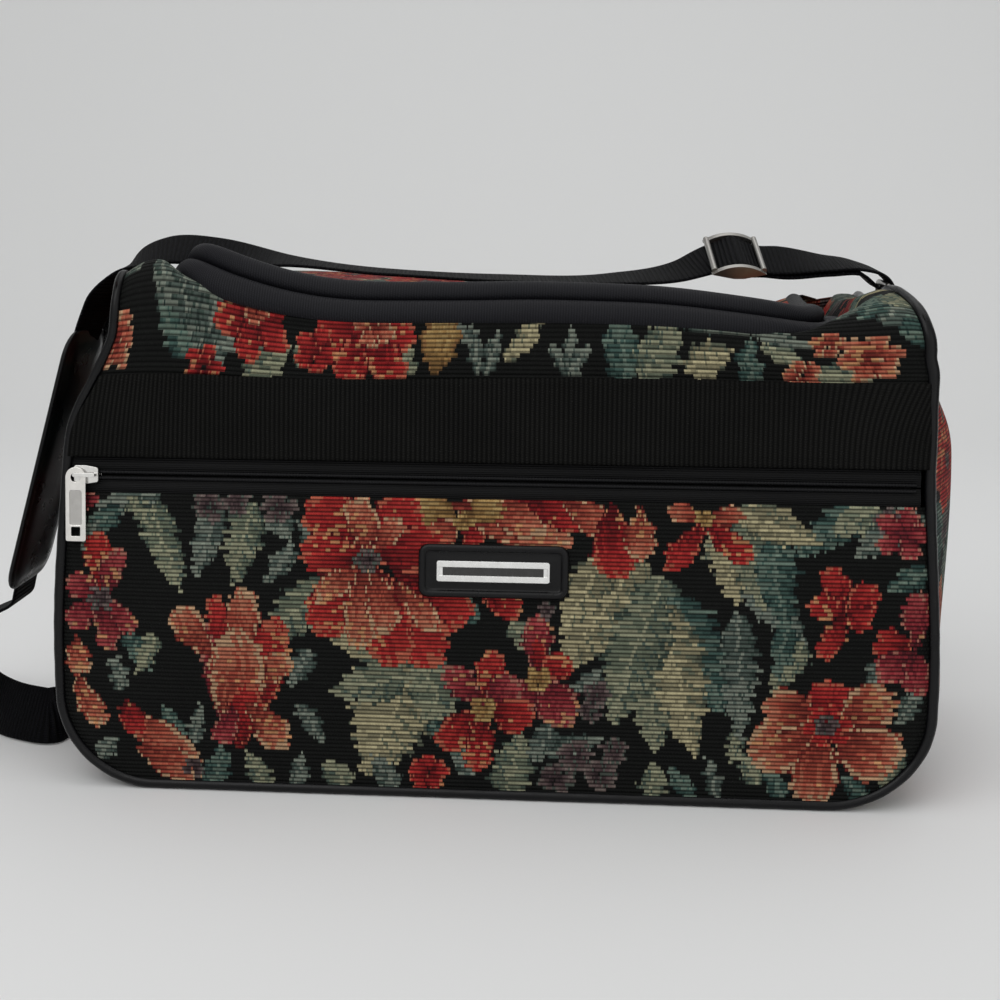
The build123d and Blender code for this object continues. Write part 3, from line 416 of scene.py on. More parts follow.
# Leaves and petals as base, tip, half width and threads; flowers as middle, radius, petals, turn and threads
POCKET_BLADES = [
    # Leaves
    (-31, 81, -61, 10, 23, "cream"), (-33, 73, -80, 84, 11, "cream"), (-38, 64, -79, 54, 11, "sage"),
    (-31, 76, -18, 32, 13, "sage"), (78, 127, 39, 68, 18, "cream"), (86, 117, 86, 27, 20, "sage"),
    (94, 107, 121, 48, 15, "teal"), (90, 104, 106, 25, 14, "cream"), (60, 126, 41, 88, 11, "cream"),
    (86, 109, 64, 40, 15, "sage"), (-174, 151, -155, 103, 9, "sage"), (-80, 110, -113, 78, 12, "sage"),
    (143, 154, 108, 125, 10, "sage"), (187, 155, 153, 127, 9, "teal"), (125, 128, 159, 85, 11, "grey"),
    (159, 86, 143, 59, 7, "sage"), (129, 43, 124, 22, 4, "sage"), (213, 147, 192, 137, 7, "grey"),
    (-96, 2, -93, 22, 5, "grey"), (-70, 3, -81, 19, 7, "sage"), (-44, 4, -57, 22, 6, "grey"),
    (-6, 13, -16, 23, 5, "grey"), (11, 2, 20, 37, 11, "sage"), (33, 25, 61, 35, 6, "grey"),
    (86, 3, 87, 23, 7, "sage"), (106, 4, 94, 21, 5, "teal"), (119, 4, 112, 27, 4, "grey"),
    (-156, 24, -164, 45, 6, "teal"), (-141, 0, -134, 25, 7, "teal"), (-151, 24, -146, 47, 4, "grey"),
    (-110, 1, -123, 22, 6, "sage"), (-95, 48, -80, 26, 5, "grey"), (201, 45, 212, 67, 5, "grey"),
    (191, 4, 179, 19, 5, "teal"), (-185, 51, -189, 71, 5, "grey"), (-80, 121, -96, 141, 6, "grey"),
    (118, 148, 126, 102, 10, "cream"), (128, 150, 140, 100, 11, "sage"), (142, 140, 150, 90, 10, "teal"),
    (126, 150, 166, 134, 9, "cream"), (-166, 154, -201, 146, 7, "grey"), (-182, 152, -172, 136, 5, "sage"),
    (-187, 146, -208, 129, 6, "teal"), (-197, 139, -205, 121, 5, "grey"), (209, 151, 181, 128, 10, "grey"),
    (192, 153, 170, 139, 8, "sage"), (150, 96, 146, 66, 6, "teal"), (193, 76, 188, 62, 5, "grey"),
    (214, 122, 196, 112, 6, "teal"), (-98, 128, -113, 108, 6, "grey"), (-182, 82, -172, 62, 6, "teal"),
    (-168, 82, -178, 60, 5, "sage"), (-88, 76, -100, 56, 6, "grey"), (-26, 40, -10, 22, 6, "teal"),
    (36, 40, 24, 20, 7, "grey"), (-189, 27, -200, 14, 5, "grey"), (140, 12, 128, 30, 5, "sage"),
    (152, 6, 140, 22, 5, "teal"), (12, 92, 34, 74, 7, "sage"), (-3, 92, -16, 104, 6, "teal"),
    (204, 32, 196, 10, 6, "sage"), (127, 100, 129, 34, 9, "grey"), (-137, 150, -149, 110, 8, "grey"),
    (-120, 150, -129, 107, 10, "sage"), (-110, 150, -100, 130, 7, "grey"), (60, 68, 43, 58, 5, "grey"),
    # Flower above the badge and the tops of the flowers cut by the zip
    (-18, 151, 44, 132, 13, "orange"), (6, 153, 50, 146, 9, "red"), (-3, 107, 19, 96, 7, "red"),
    (-4, 153, 30, 137, 9, "orange"), (17, 154, 52, 141, 8, "red"), (37, 154, 64, 138, 8, "orange"),
    (63, 153, 66, 114, 12, "red"), (77, 152, 78, 124, 8, "orange"), (110, 145, 91, 119, 7, "red"),
    (110, 145, 132, 124, 7, "red"), (110, 145, 129, 149, 5, "orange"), (110, 145, 90, 150, 5, "orange"),
    # Large red flower left of the badge
    (-12, 142, -38, 152, 9, "gold"), (-10, 142, 8, 153, 8, "gold"), (-12, 142, -28, 131, 8, "orange"),
    (-10, 141, -4, 129, 6, "red"), (-60, 124, -36, 154, 13, "red"), (-58, 122, -20, 132, 12, "red"),
    (-60, 124, -90, 154, 14, "red"), (-60, 124, -66, 154, 9, "orange"), (-60, 122, -95, 126, 11, "red"),
    (-46, 116, -7, 92, 13, "red"), (-52, 115, -23, 69, 14, "red"), (-60, 120, -86, 84, 14, "red"),
    (-58, 120, -44, 68, 15, "red"), (-60, 120, -63, 77, 10, "orange"), (-63, 119, -87, 101, 7, "orange"),
    (-57, 117, -49, 84, 9, "orange"), (-46, 111, -24, 86, 6, "orange"), (-57, 125, -42, 144, 6, "orange"),
    # Two small red flowers below the badge
    (29, 66, 44, 40, 11, "pink"), (26, 66, 14, 46, 9, "pink"), (28, 66, 26, 96, 8, "pink"),
    (28, 66, 45, 74, 7, "red"), (28, 68, 27, 84, 4, "red"), (1, 49, -19, 69, 8, "pink"),
    (1, 49, 5, 78, 8, "red"), (1, 49, 17, 64, 9, "pink"), (1, 48, -23, 27, 9, "red"),
    (1, 47, -4, 15, 8, "red"), (2, 49, 25, 42, 10, "red"),
    # Tall flower at the left
    (-128, 24, -140, 90, 9, "pink"), (-139, 70, -158, 96, 9, "orange"), (-132, 64, -138, 103, 6, "red"),
    (-124, 66, -123, 107, 9, "orange"), (-118, 34, -106, 92, 11, "red"), (-121, 56, -99, 72, 8, "orange"),
    (-126, 22, -127, 86, 15, "orange"), (-126, 22, -120, 58, 9, "red"), (-122, 48, -101, 24, 9, "orange"),
    (-128, 46, -136, 24, 7, "pink"),
    # Flowers cut by the left end
    (-195, 99, -198, 134, 7, "red"), (-195, 99, -187, 125, 6, "pink"), (-195, 99, -180, 82, 7, "pink"),
    (-195, 99, -190, 71, 6, "pink"), (-195, 99, -212, 109, 7, "pink"), (-195, 99, -212, 84, 7, "pink"),
    (-207, 80, -206, 58, 6, "orange"), (-208, 60, -196, 32, 7, "orange"),
    (-187, 44, -147, 10, 10, "orange"), (-185, 48, -176, 28, 6, "red"), (-180, 22, -146, 8, 9, "orange"),
    # Flowers at the right end
    (170, 44, 134, 26, 15, "orange"), (166, 50, 140, 52, 12, "orange"), (170, 46, 171, 67, 11, "red"),
    (174, 46, 199, 60, 12, "orange"), (172, 40, 203, 24, 15, "orange"), (168, 40, 164, 3, 12, "orange"),
    (177, 101, 169, 123, 7, "red"), (177, 101, 191, 114, 7, "red"), (177, 101, 160, 105, 7, "red"),
    (177, 102, 168, 77, 6, "red"), (177, 101, 189, 95, 7, "red"), (207, 82, 210, 112, 7, "pink"),
    (207, 82, 190, 88, 8, "red"), (207, 82, 191, 68, 8, "pink"), (207, 82, 210, 60, 7, "pink"),
]
POCKET_ROSETTES = [
    # Hearts, buds and berries
    (109, 146, 4, 5, 0, "gold"), (47, 25, 10, 5, 10, "mauve"), (60, 15, 10, 5, 40, "mauve"),
    (37, 13, 9, 5, 70, "mauve"), (66, 28, 8, 5, 20, "mauve"), (57, 57, 8, 5, 0, "mauve"),
    (-206, 150, 7, 5, 0, "pink"), (196, 146, 7, 5, 20, "mauve"), (54, 48, 7, 5, 40, "mauve"),
    (-150, 12, 6, 5, 0, "mauve"), (-60, 122, 7, 6, 0, "mauve"), (-12, 142, 6, 6, 0, "gold"),
    (0, 48, 8, 6, 0, "gold"), (28, 64, 7, 6, 0, "gold"), (-28, 13, 12, 5, 90, "red"),
    (-195, 99, 7, 6, 0, "mauve"), (170, 44, 13, 6, 10, "red"), (170, 44, 7, 6, 0, "mauve"),
    (203, 140, 12, 5, 0, "pink"), (-142, 148, 9, 5, 0, "mauve"), (-128, 149, 8, 5, 20, "mauve"),
    (-106, 147, 10, 5, 10, "mauve"), (31, 98, 5, 5, 0, "mauve"),
]


def pocket_belly(x, s):
    """How far the pocket panel stands out: a low dome, a few soft hollows, and a tuck at its seams."""
    edge = np.minimum(seam_half(s) - np.abs(x), s)
    badge = smooth(1.1, 1.9, np.hypot((x - BADGE_X) / 42, (s - BADGE_S) / 17))
    dome = 5.0 * smooth(0, 70, edge) * smooth(20, 75, ZIP_LOW - s)
    hollows = 0.8 * np.sin(x / 37 + 1.3) * np.sin(s / 29 + 0.4) + 0.5 * np.sin(x / 17 + s / 23)
    rise = dome + hollows * smooth(4, 40, edge) * smooth(20, 60, ZIP_LOW - s)
    return badge * rise - 1.6 * (1 - smooth(0, 7, edge))


# The last two rows turn the hem in under the edge
rows = np.append(np.arange(0.2, ZIP_LOW, RIB), [ZIP_LOW] * 3)
gx, gs = np.meshgrid(np.linspace(-FOOT, FOOT, 543), rows)
hem = 1.2 * smooth(ZIP_LOW - 2.5, ZIP_LOW, gs)
hem[-2:] = [[2.0], [2.6]]
cx, cs = cells_of(gx, gs)
cloth("pocket_panel", "front_pocket_panel", settle(front(gx, gs, pocket_belly(gx, gs) - hem)), gx, gs,
      (POCKET_BLADES, POCKET_ROSETTES), seam_half(cs) - np.abs(cx) > -TUCK)


# Yoke and top: jacquard from the pocket zip up over the front bend and along the top on both sides of the
# lid. One strip follows the bag's side profile, and the U-shaped place of the lid zip is left open.
ARC_Y = -HALF_DEPTH + BEND_START * math.sin(LEAN) + BEND_RADIUS * math.cos(LEAN)
ARC_Z, ARC_TURN = TOP - BEND_RADIUS, math.pi / 2 - LEAN
FLAT_START = BEND_START + BEND_RADIUS * ARC_TURN
RIM_HALF, RIM_FRONT, RIM_BACK, RIM_RADIUS, RIM_Z = 176.0, -60.4, 84.0, 48.0, 237.5
RIM_TILT = math.radians(1)
SPAN = 216.0
YOKE_BLADES = [
    (-153, 218, -180, 262, 9, "grey"), (-152, 218, -166, 267, 9, "grey"), (-150, 218, -148, 269, 8, "grey"),
    (-149, 218, -134, 253, 8, "grey"), (-149, 217, -127, 230, 7, "grey"), (-153, 217, -174, 237, 6, "teal"),
    (-96, 217, -85, 236, 6, "sage"), (-124, 211, -100, 227, 9, "sage"), (-28, 214, -21, 243, 10, "gold"),
    (-39, 214, -46, 231, 6, "sage"), (-4, 215, -8, 239, 4, "grey"), (0, 215, 6, 236, 4, "grey"),
    (-9, 229, -17, 239, 4, "grey"), (9, 222, 28, 241, 5, "cream"), (40, 215, 32, 230, 4, "grey"),
    (40, 215, 41, 237, 4, "grey"), (41, 215, 50, 229, 4, "grey"), (69, 212, 65, 243, 10, "teal"),
    (77, 213, 94, 241, 11, "sage"), (98, 219, 121, 228, 9, "cream"), (129, 211, 129, 236, 6, "teal"),
    (135, 233, 155, 223, 5, "sage"), (184, 243, 206, 268, 9, "grey"), (190, 236, 215, 247, 8, "teal"),
    (199, 221, 215, 233, 6, "grey"), (92, 240, 130, 237, 4, "grey"), (128, 239, 160, 232, 4, "grey"),
    (158, 219, 180, 216, 6, "sage"), (178, 246, 190, 274, 8, "teal"), (170, 247, 172, 270, 7, "grey"),
    (190, 252, 208, 284, 8, "sage"), (-188, 250, -204, 272, 8, "grey"), (-176, 262, -186, 290, 8, "teal"),
]
YOKE_ROSETTES = [
    (-198, 225, 13, 6, 0, "orange"), (-120, 239, 20, 6, 20, "red"), (-119, 240, 8, 5, 45, "orange"),
    (-60, 235, 27, 6, 0, "red"), (-57, 238, 11, 5, 30, "orange"), (-87, 225, 12, 5, 0, "red"),
    (-146, 214, 9, 5, 0, "red"), (179, 227, 13, 6, 15, "orange"), (154, 218, 9, 5, 40, "orange"),
    (164, 233, 8, 5, 10, "orange"),
]


def wrap(x, t, n):
    """Point of the front and top: t runs up the leaning front, round the bend and back along the flat top."""
    x, t, n = np.broadcast_arrays(x, t, n)
    turn = np.clip((t - BEND_START) / BEND_RADIUS, 0, ARC_TURN)
    low, flat = np.minimum(t - BEND_START, 0), np.maximum(t - FLAT_START, 0)
    angle = math.pi - LEAN - turn
    reach = BEND_RADIUS + n
    return np.stack([x, ARC_Y + reach * np.cos(angle) + low * math.sin(LEAN) + flat,
                     ARC_Z + reach * np.sin(angle) + low * math.cos(LEAN)], -1)


def in_rim(x, y, inset):
    """How far a point lies inside the lid zip's U moved inward; below 0 outside."""
    side, near = RIM_HALF - inset, RIM_FRONT + inset
    radius = max(RIM_RADIUS - inset, 6)
    dx, dy = np.abs(x) - (side - radius), (near + radius) - y
    corner = radius - np.hypot(np.maximum(dx, 0), np.maximum(dy, 0))
    return np.where((dx > 0) & (dy > 0), corner, np.minimum(side - np.abs(x), y - near))


gx, gt = np.meshgrid(np.linspace(-SPAN, SPAN, 481), np.arange(ZIP_HIGH, FLAT_START + 92.4 - ARC_Y, RIB))
half = np.where(gt < 228, seam_half(gt), SHOULDER)
gx = gx / SPAN * half
softness = smooth(0, 14, half - np.abs(gx))
loose = 1.2 * np.sin(gx / 19 + 0.7) * np.sin(gt / 13 + gx / 47) + 0.7 * np.sin(gx / 9.5 + gt / 31)
points = wrap(gx, gt, 0)
apart = np.hypot(np.maximum(-in_rim(gx, points[..., 1], 0), 0), np.maximum(RIM_Z - points[..., 2], 0))
swell = (1.6 + loose) * smooth(216, 226, gt) * smooth(3, 15, apart) * softness
points = wrap(gx, gt, swell - 1.3 * (1 - smooth(0, 6, half - np.abs(gx))))
spare = np.maximum(points[..., 2] - RIM_Z - 1 + gx * math.tan(RIM_TILT), 0)
points[..., 2] -= spare * (1 - smooth(0, 11, -in_rim(gx, points[..., 1], 0)))
points[..., 2] -= 4 * smooth(84, 92, points[..., 1])
cx, cy, level = cells_of(*np.moveaxis(points, -1, 0))
flowers = [own + more for own, more in zip((YOKE_BLADES, YOKE_ROSETTES),
                                           scatter(21, (-200, 302), (200, 400)))]
cloth("top_wrap_cloth", "top_wrap", settle(points), gx, gt, flowers,
      (in_rim(cx, cy, 2.5) < 0) | (level < RIM_Z + 2))


# Webbing band: 45 mm black webbing sewn across the front above the pocket zip, and one line of stitches near
# each edge. A ribbed strip with turned edges lies on the yoke.
BAND_LOW, BAND_HIGH, BAND_THICK = ZIP_HIGH, 216.8, 1.6


def swapped(tree, place):
    """Place socket with its first two axes swapped."""
    axes = add_node(tree, "SeparateXYZ", place).outputs
    return add_node(tree, "CombineXYZ", axes["Y"], axes["X"]).outputs[0]


def webbing_material(name, thread, stitches):
    """Near-black webbing: ribs across the run with painted shade between them and painted highlight on their
    crests, a finer twill between them, and dashed lines of stitches.
    """
    material, tree, shader = new_material(name, 0.6, 0.06)
    place = add_node(tree, "UVMap").outputs[0]
    axes = add_node(tree, "SeparateXYZ", place).outputs
    crest, height = add_ribs(tree, swapped(tree, place), 2.4, 1.3)
    worn = noise(tree, place, 0.03, 3)
    # Painted shade and highlight: the crest darkens the webbing between its ribs and brightens their crests,
    # times a random worn tone
    tone = calc(tree, "MULTIPLY", ramp(tree, crest, 0.2, 1.35), ramp(tree, worn, 0.6, 1.4))
    tint(tree, shader, thread, tone)
    for line in stitches:
        off = calc(tree, "ABSOLUTE", calc(tree, "SUBTRACT", axes["Y"], line))
        dash = calc(tree, "FRACT", calc(tree, "DIVIDE", axes["X"], 3.2))
        near, thick = calc(tree, "LESS_THAN", off, 0.45), calc(tree, "LESS_THAN", dash, 0.72)
        stitch = calc(tree, "MULTIPLY", calc(tree, "MULTIPLY", near, thick), 1.1)
        dent = calc(tree, "MULTIPLY", calc(tree, "LESS_THAN", off, 1.0), 0.6)
        height = calc(tree, "ADD", calc(tree, "SUBTRACT", height, dent), stitch)
    bump(tree, shader, height, 0.0006, 0.9)
    return material


BAND_WEB = webbing_material("band webbing", rgb(16, 16, 15), (BAND_LOW + 4, BAND_HIGH - 4))
STRAP_WEB = webbing_material("strap webbing", rgb(6, 6, 9), (-13, 13))

xs = np.linspace(-1, 1, 361)
ss = np.concatenate([[BAND_LOW, BAND_LOW - 0.2], np.linspace(BAND_LOW + 0.2, BAND_HIGH - 0.2, 25),
                     [BAND_HIGH + 0.2, BAND_HIGH]])
depth = np.concatenate([[-1.5, 0.7], np.full(25, BAND_THICK), [0.9, -1.5]])
gx, gs = np.meshgrid(xs, ss)
gx = gx * (seam_half(gs) - 0.6)
ripple = 0.5 * np.sin(gx / 46 + 0.6) + 0.35 * np.sin(gx / 21 + gs / 15)
wave = 0.7 * np.sin(gx / 75 + 1.0) - 4.0 + 0.009 * gx
gn = depth[:, None] + ripple * smooth(0, 20, 214 - np.abs(gx))
rise = gs + wave * smooth(BAND_LOW, BAND_HIGH, gs)
piece("webbing_band", settle(front(gx, rise, gn)), (gx, gs), "front_band", BAND_WEB)


# Pocket zip: two woven tapes at the bottom of a 19 mm window and a pair of nylon coils along its middle.
# The tapes are sunk strips with a lip, and each coil is a strand whose width beats with its turns.
def tape_material(name, colour, pitch, across):
    """Zip tape: fine ribs along or across the run with painted shade between them, and a soft dark sheen."""
    material, tree, shader = new_material(name, 0.5, 0.1)
    place = add_node(tree, "UVMap").outputs[0]
    crest, height = add_ribs(tree, swapped(tree, place) if across else place, pitch, 0.9)
    # Painted shade: the crest darkens the tape between its ribs
    tint(tree, shader, colour, ramp(tree, crest, 0.5, 1.05))
    bump(tree, shader, height, 0.0002, 0.8)
    return material


def plain_material(name, colour, rough, shine=0.5):
    """Material of one plain colour."""
    material, _, shader = new_material(name, rough, shine)
    shader.inputs["Base Color"].default_value = (*colour, 1)
    return material


def circle(count):
    """Even angles once round."""
    return np.linspace(0, 2 * math.pi, count + 1)[:-1]


POCKET_TAPE = tape_material("pocket zip tape", rgb(16, 16, 17), 1.0, False)
COIL = plain_material("zip coil", rgb(16, 16, 18), 0.5, 0.15)
COIL_SIDES = 8
turns, angle = np.arange(-212.3, 212.3, 0.4), circle(COIL_SIDES)
for name, side, hem in (("lower", -1, ZIP_LOW - 3), ("upper", 1, ZIP_HIGH + 3)):
    gx, share = np.meshgrid(np.linspace(-1, 1, 241), np.linspace(0, 1, 10))
    gs = hem + (ZIP_MID + side * 0.4 - hem) * share
    gx = gx * (seam_half(gs) - 0.8)
    gn = -2.5 + 1.1 * np.sin(math.pi * np.clip(share * 1.4 - 0.3, 0, 1)) ** 2 + 0.15 * np.sin(gx / 13)
    piece(f"pocket_zip_{name}_tape_cloth", front(gx, gs, gn), (gx, gs), f"pocket_zip_{name}_tape",
          POCKET_TAPE)
    beat = (0.85 + 0.15 * np.sin(turns * 2 * math.pi / 1.6 + (side > 0) * math.pi))[:, None]
    gs = ZIP_MID + side * (1.5 + 0.95 * beat * np.cos(angle))
    piece(f"pocket_zip_{name}_coil_strand", front(turns[:, None], gs, beat * np.sin(angle) - 1.45),
          np.meshgrid(np.append(angle, 7), turns), f"pocket_zip_{name}_coil", COIL, ring=True)


# Piping: black vinyl over a cord of 5 mm, sewn into the front seam, the back seam and the two ends of the
# top. Round beads follow the seams' centre lines and pucker a little along the stitches.
BEAD_SIDES = 12
BACK_SEAM, TOP_SEAM = HALF_DEPTH - SINK, TOP - SINK


def vinyl_material(name, colour, rough):
    """Black vinyl: a fine grain, faint scuffs and a soft shine."""
    material, tree, shader = new_material(name, rough, 0.22)
    place = add_node(tree, "TexCoord").outputs["Object"]
    scuff = noise(tree, place, 60, 4)
    tint(tree, shader, colour, ramp(tree, scuff, 0.7, 1.3))
    tree.links.new(ramp(tree, scuff, rough - 0.08, rough + 0.1), shader.inputs["Roughness"])
    bump(tree, shader, noise(tree, place, 1400, 3), 0.0002, 0.5)
    return material


VINYL = vinyl_material("black vinyl", rgb(7, 7, 9), 0.28)


def unit(vectors):
    """Rows of vectors, each divided by its length."""
    return vectors / np.linalg.norm(vectors, axis=1, keepdims=True)


def run_uv(path, around):
    """UVs of a closed strip: arc length and the turn round it, in millimetres."""
    return np.meshgrid(np.linspace(0, 16, around + 1), run_length(path))[::-1]


def bead(name, node, path, flat):
    """One run of piping: rings round a path, their radius beating a little; flat is a direction that the path
    never takes."""
    length = np.arange(len(path)) * STEP
    radius = BEAD * (1 + 0.025 * np.sin(length / 2.3) + 0.03 * np.sin(length / 17))
    along = unit(np.gradient(path, axis=0))
    side = unit(np.cross(along, np.array(flat, float)))
    up = np.cross(side, along)
    cos, sin = (wave(circle(BEAD_SIDES))[:, None] for wave in (np.cos, np.sin))
    points = path[:, None] + radius[:, None, None] * (cos * side[:, None] + sin * up[:, None])
    piece(name, settle(points), run_uv(path, BEAD_SIDES), node, VINYL, ring=True)


def both_ends(end):
    """A seam over both ends of the bag, from the top left round the base to the top right."""
    corners = [(-x, s) for x, s in end[:-1]] + [(x, s) for x, s in end[-2::-1]]
    return rounded(corners, END_RADII + END_RADII[::-1])


def front_seam_y(z):
    """Depth of the front seam's centre line at a height: the leaning face moved inward."""
    return -HALF_DEPTH + (SINK + z * math.sin(LEAN)) / math.cos(LEAN)


bead("front_piping_bead", "front_piping", front(*both_ends(FRONT_END).T, -SINK), OUTWARD)
bead("back_piping_bead", "back_piping", np.insert(both_ends(BACK_END), 1, BACK_SEAM, 1), (0, 1, 0))
over = rounded([(front_seam_y(229.1), 229.1), (front_seam_y(TOP_SEAM), TOP_SEAM), (BACK_SEAM, TOP_SEAM),
                (BACK_SEAM, 233.75)], [14.75, 8])
for name, end in (("left", -1), ("right", 1)):
    bead(f"{name}_top_piping_bead", f"{name}_top_piping", np.insert(over, 0, end * SHOULDER, 1), (1, 0, 0))


# Ends: jacquard gussets that run down each end and turn in under the base, fuller in the middle of the
# depth. Each is a surface through three J-shaped sections, at the front seam, the middle and the back seam.
MIDDLE_Y, J_INNER = 9.5, 150
J_MIDDLE = [(SHOULDER, TOP), (201.25, 238), (229, 185), (233, SINK), (J_INNER, SINK)]
j_front, j_middle, j_back = (resampled(rounded(line, radii, 1), 170) for line, radii in (
    (end_line(246.5, 1.44, J_INNER), END_RADII), (J_MIDDLE, [12, 60, 60]),
    (end_line(TOP, SINK, J_INNER), END_RADII)))
sections = front(*j_front.T, -SINK), np.insert(j_middle, 1, MIDDLE_Y, 1), np.insert(j_back, 1, BACK_SEAM, 1)
q = np.linspace(0, 1, 121)[None, :, None]
a, b, c = (section[:, None] for section in sections)
full = 2 * (q - 0.5) * (q - 1) * a + 4 * q * (1 - q) * b + 2 * q * (q - 0.5) * c
gy, gv = np.meshgrid(np.linspace(-HALF_DEPTH, HALF_DEPTH, 121), TOP - run_length(sections[0]))
slack = (1.3 * np.sin(gy / 15 + gv / 38) + np.sin(gv / 21 + 1)) * smooth(0, 18, HALF_DEPTH - np.abs(gy))
full[..., 0] += slack * smooth(0, 30, gv) * smooth(0, 20, 240 - gv)
full[..., 2] = np.maximum(full[..., 2], 0.4)
RIGHT_FLOWERS = (
    [(-62, 150, -88, 112, 13, "teal"), (-58, 128, -84, 150, 10, "teal"), (-50, 170, -70, 140, 9, "grey")],
    [(-72, 222, 24, 6, 0, "pink"), (-78, 196, 20, 6, 30, "red"), (-82, 178, 14, 5, 0, "red"),
     (-80, 82, 30, 7, 0, "orange"), (-78, 92, 18, 5, 20, "red")])
for name, end, seed, own in (("left", -1, 5, ([], [])), ("right", 1, 8, RIGHT_FLOWERS)):
    flowers = [more + some for more, some in zip(scatter(seed, (-110, -80), (110, 270)), own)]
    cloth(f"{name}_gusset_cloth", f"{name}_gusset", settle(full * (end, 1, 1)), gy, gv, flowers,
          turn=np.s_[:, ::end])


# Back and base: plain runs of the same jacquard. The back is a height field that stands out softly inside its
# piping; the base lies flat on the floor between the ends.
def back_half(z):
    """Half width of the back at a height: its seam's, and the shoulder's above it."""
    return np.where(z < 233, seam_half(z, BACK_HALF), SHOULDER)


gx, gz = np.meshgrid(np.linspace(-FOOT, FOOT, 363), np.append(np.arange(2.0, 244, RIB), 244.6))
edge = np.minimum(np.minimum(back_half(gz) - np.abs(gx), gz), TOP - gz)
puff = 6 * smooth(0, 90, edge) + 1.2 * np.sin(gx / 41) * np.sin(gz / 33 + 1) * smooth(6, 40, edge)
puff = puff - 1.4 * (1 - smooth(0, 7, edge))
cx, cz = cells_of(gx, gz)
cloth("back_panel_cloth", "back_panel", settle(np.stack([gx, HALF_DEPTH + puff, gz], -1)), -gx, gz,
      scatter(31, (-230, -10), (230, 250)), back_half(cz) - np.abs(cx) > -TUCK, np.s_[:, ::-1])
gx, gy = np.meshgrid(np.linspace(-150.5, 150.5, 161), np.linspace(-92.0, 92.5, 97))
cloth("base_cloth", "bottom_panel", np.stack([gx, gy, np.full_like(gx, 0.3)], -1), gx, gy,
      scatter(41, (-160, -100), (160, 100)), turn=np.s_[::-1])


# Lid zip: a raised band of two charcoal tapes round three sides of the lid, rolled at their meeting edges
# over a nylon coil. Each tape is a padded strip swept along the U, low where the slider runs.
ROOT2, MEET = math.sqrt(2), 10.96
LID_TAPE = tape_material("lid zip tape", rgb(28, 28, 32), 1.35, True)
rim = rounded([(-RIM_HALF, RIM_BACK), (-RIM_HALF, RIM_FRONT), (RIM_HALF, RIM_FRONT), (RIM_HALF, RIM_BACK)],
              [RIM_RADIUS, RIM_RADIUS])
along = unit(np.gradient(rim, axis=0))
inward = np.stack([-along[:, 1], along[:, 0]], -1)
slider_run = ((rim[:, 0] < 0) * smooth(-14, 8, rim[:, 1]))[:, None]


def rim_point(u, n):
    """Point of the sloping zip band: u up its 45 degree slope from the cloth, n outward from its face. The
    band sags with the bag, but stays true where the slider runs."""
    inside, lift = (u - n) / ROOT2, (u + n) / ROOT2
    flat = rim[:, None] + inward[:, None] * inside[..., None]
    x, y = flat[..., 0], flat[..., 1]
    points = np.stack([x * math.cos(RIM_TILT) + lift * math.sin(RIM_TILT), y,
                       RIM_Z - x * math.sin(RIM_TILT) + lift * math.cos(RIM_TILT)], -1)
    return points + (settle(points) - points) * (1 - slider_run[..., None])


length = (np.arange(len(rim)) * STEP)[:, None]
crown = 5.4 + (0.25 * np.sin(length / 23) + 0.2 * np.sin(length / 9.7))
crown = crown * (1 - slider_run) + 1.1 * slider_run
beat = 0.9 + 0.1 * np.sin(length * 2 * math.pi / 4)
for name, side, middle, half in (("outer", -1, 4.3, 6.2), ("inner", 1, 17.5, 6.0)):
    angle = np.linspace(math.pi, 0, 17)
    u = middle + half * np.cos(angle) + 0 * slider_run
    piece(f"lid_zip_{name}_roll", rim_point(u, crown * np.sin(angle) ** 0.75 - 1.0),
          np.broadcast_arrays(length, u), f"top_zip_{name}_tape", LID_TAPE)
    angle = circle(COIL_SIDES)
    u = MEET + side * (1.55 + 0.95 * beat * np.cos(angle))
    n = 0.2 + 0.3 * slider_run + (0.9 + 0.1 * slider_run) * beat * np.sin(angle)
    piece(f"lid_zip_{name}_coil_strand", rim_point(u, n), run_uv(rim, COIL_SIDES), f"top_zip_{name}_coil",
          COIL, ring=True)


# Lid: a flat jacquard flap inside the zip, its edge turned up against the tape, its back widened to close
# the ends of the zip and sewn down over the back. One sheet over the lid's outline, with a few soft dips.
LID_BACK, LID_HALF, LID_INSET, TURN_LOW = 84.6, 177.0, 15.6, 240.5
ahead, turned = np.arange(-47, LID_BACK, RIB), np.linspace(0, 1, 10)
gx, gv = np.meshgrid(np.linspace(-LID_HALF, LID_HALF, 297), np.append(ahead, LID_BACK + 16 * turned))
drop = np.append(0 * ahead, turned)[:, None] + 0 * gx
gy = np.where(gv < LID_BACK, gv, LID_BACK + 11.2 * np.sin(drop * math.pi / 2))
edge = in_rim(gx, np.minimum(gy, LID_BACK), LID_INSET)
dips = 0.9 * np.sin(gx / 33 + 0.5) * np.sin(gy / 21) + 0.5 * np.sin(gx / 14 + gy / 19) - 1.1
sag = 5 * smooth(30, 130, gx) * smooth(0, 30, edge)
gz = 253.2 - np.tan(RIM_TILT) * gx + dips * smooth(0, 24, edge) - sag
gz = np.where(drop > 0, np.minimum(gz, TOP + 0.5 * (LID_HALF - np.abs(gx))), gz)
gz = TURN_LOW + (gz - TURN_LOW) * np.cos(drop * math.pi / 2)
cx, cv = cells_of(gx, gv)
cloth("lid_cloth", "lid", settle(np.stack([gx, gy, gz], -1)), gx, gv, scatter(51, (-180, -60), (180, 100)),
      (in_rim(cx, cv, LID_INSET) > -0.6) | (cv > LID_BACK + 1))


# Badge: a padded black vinyl patch with a raised rim and a bare bright plate with a dark centre stripe.
# The patch is a stack of rounded rectangles from the cloth up over the rim and in to its middle.
BADGE_HALF, BADGE_TALL, BADGE_ROUND, BADGE_SIDES = 38.0, 13.5, 5.0, 96


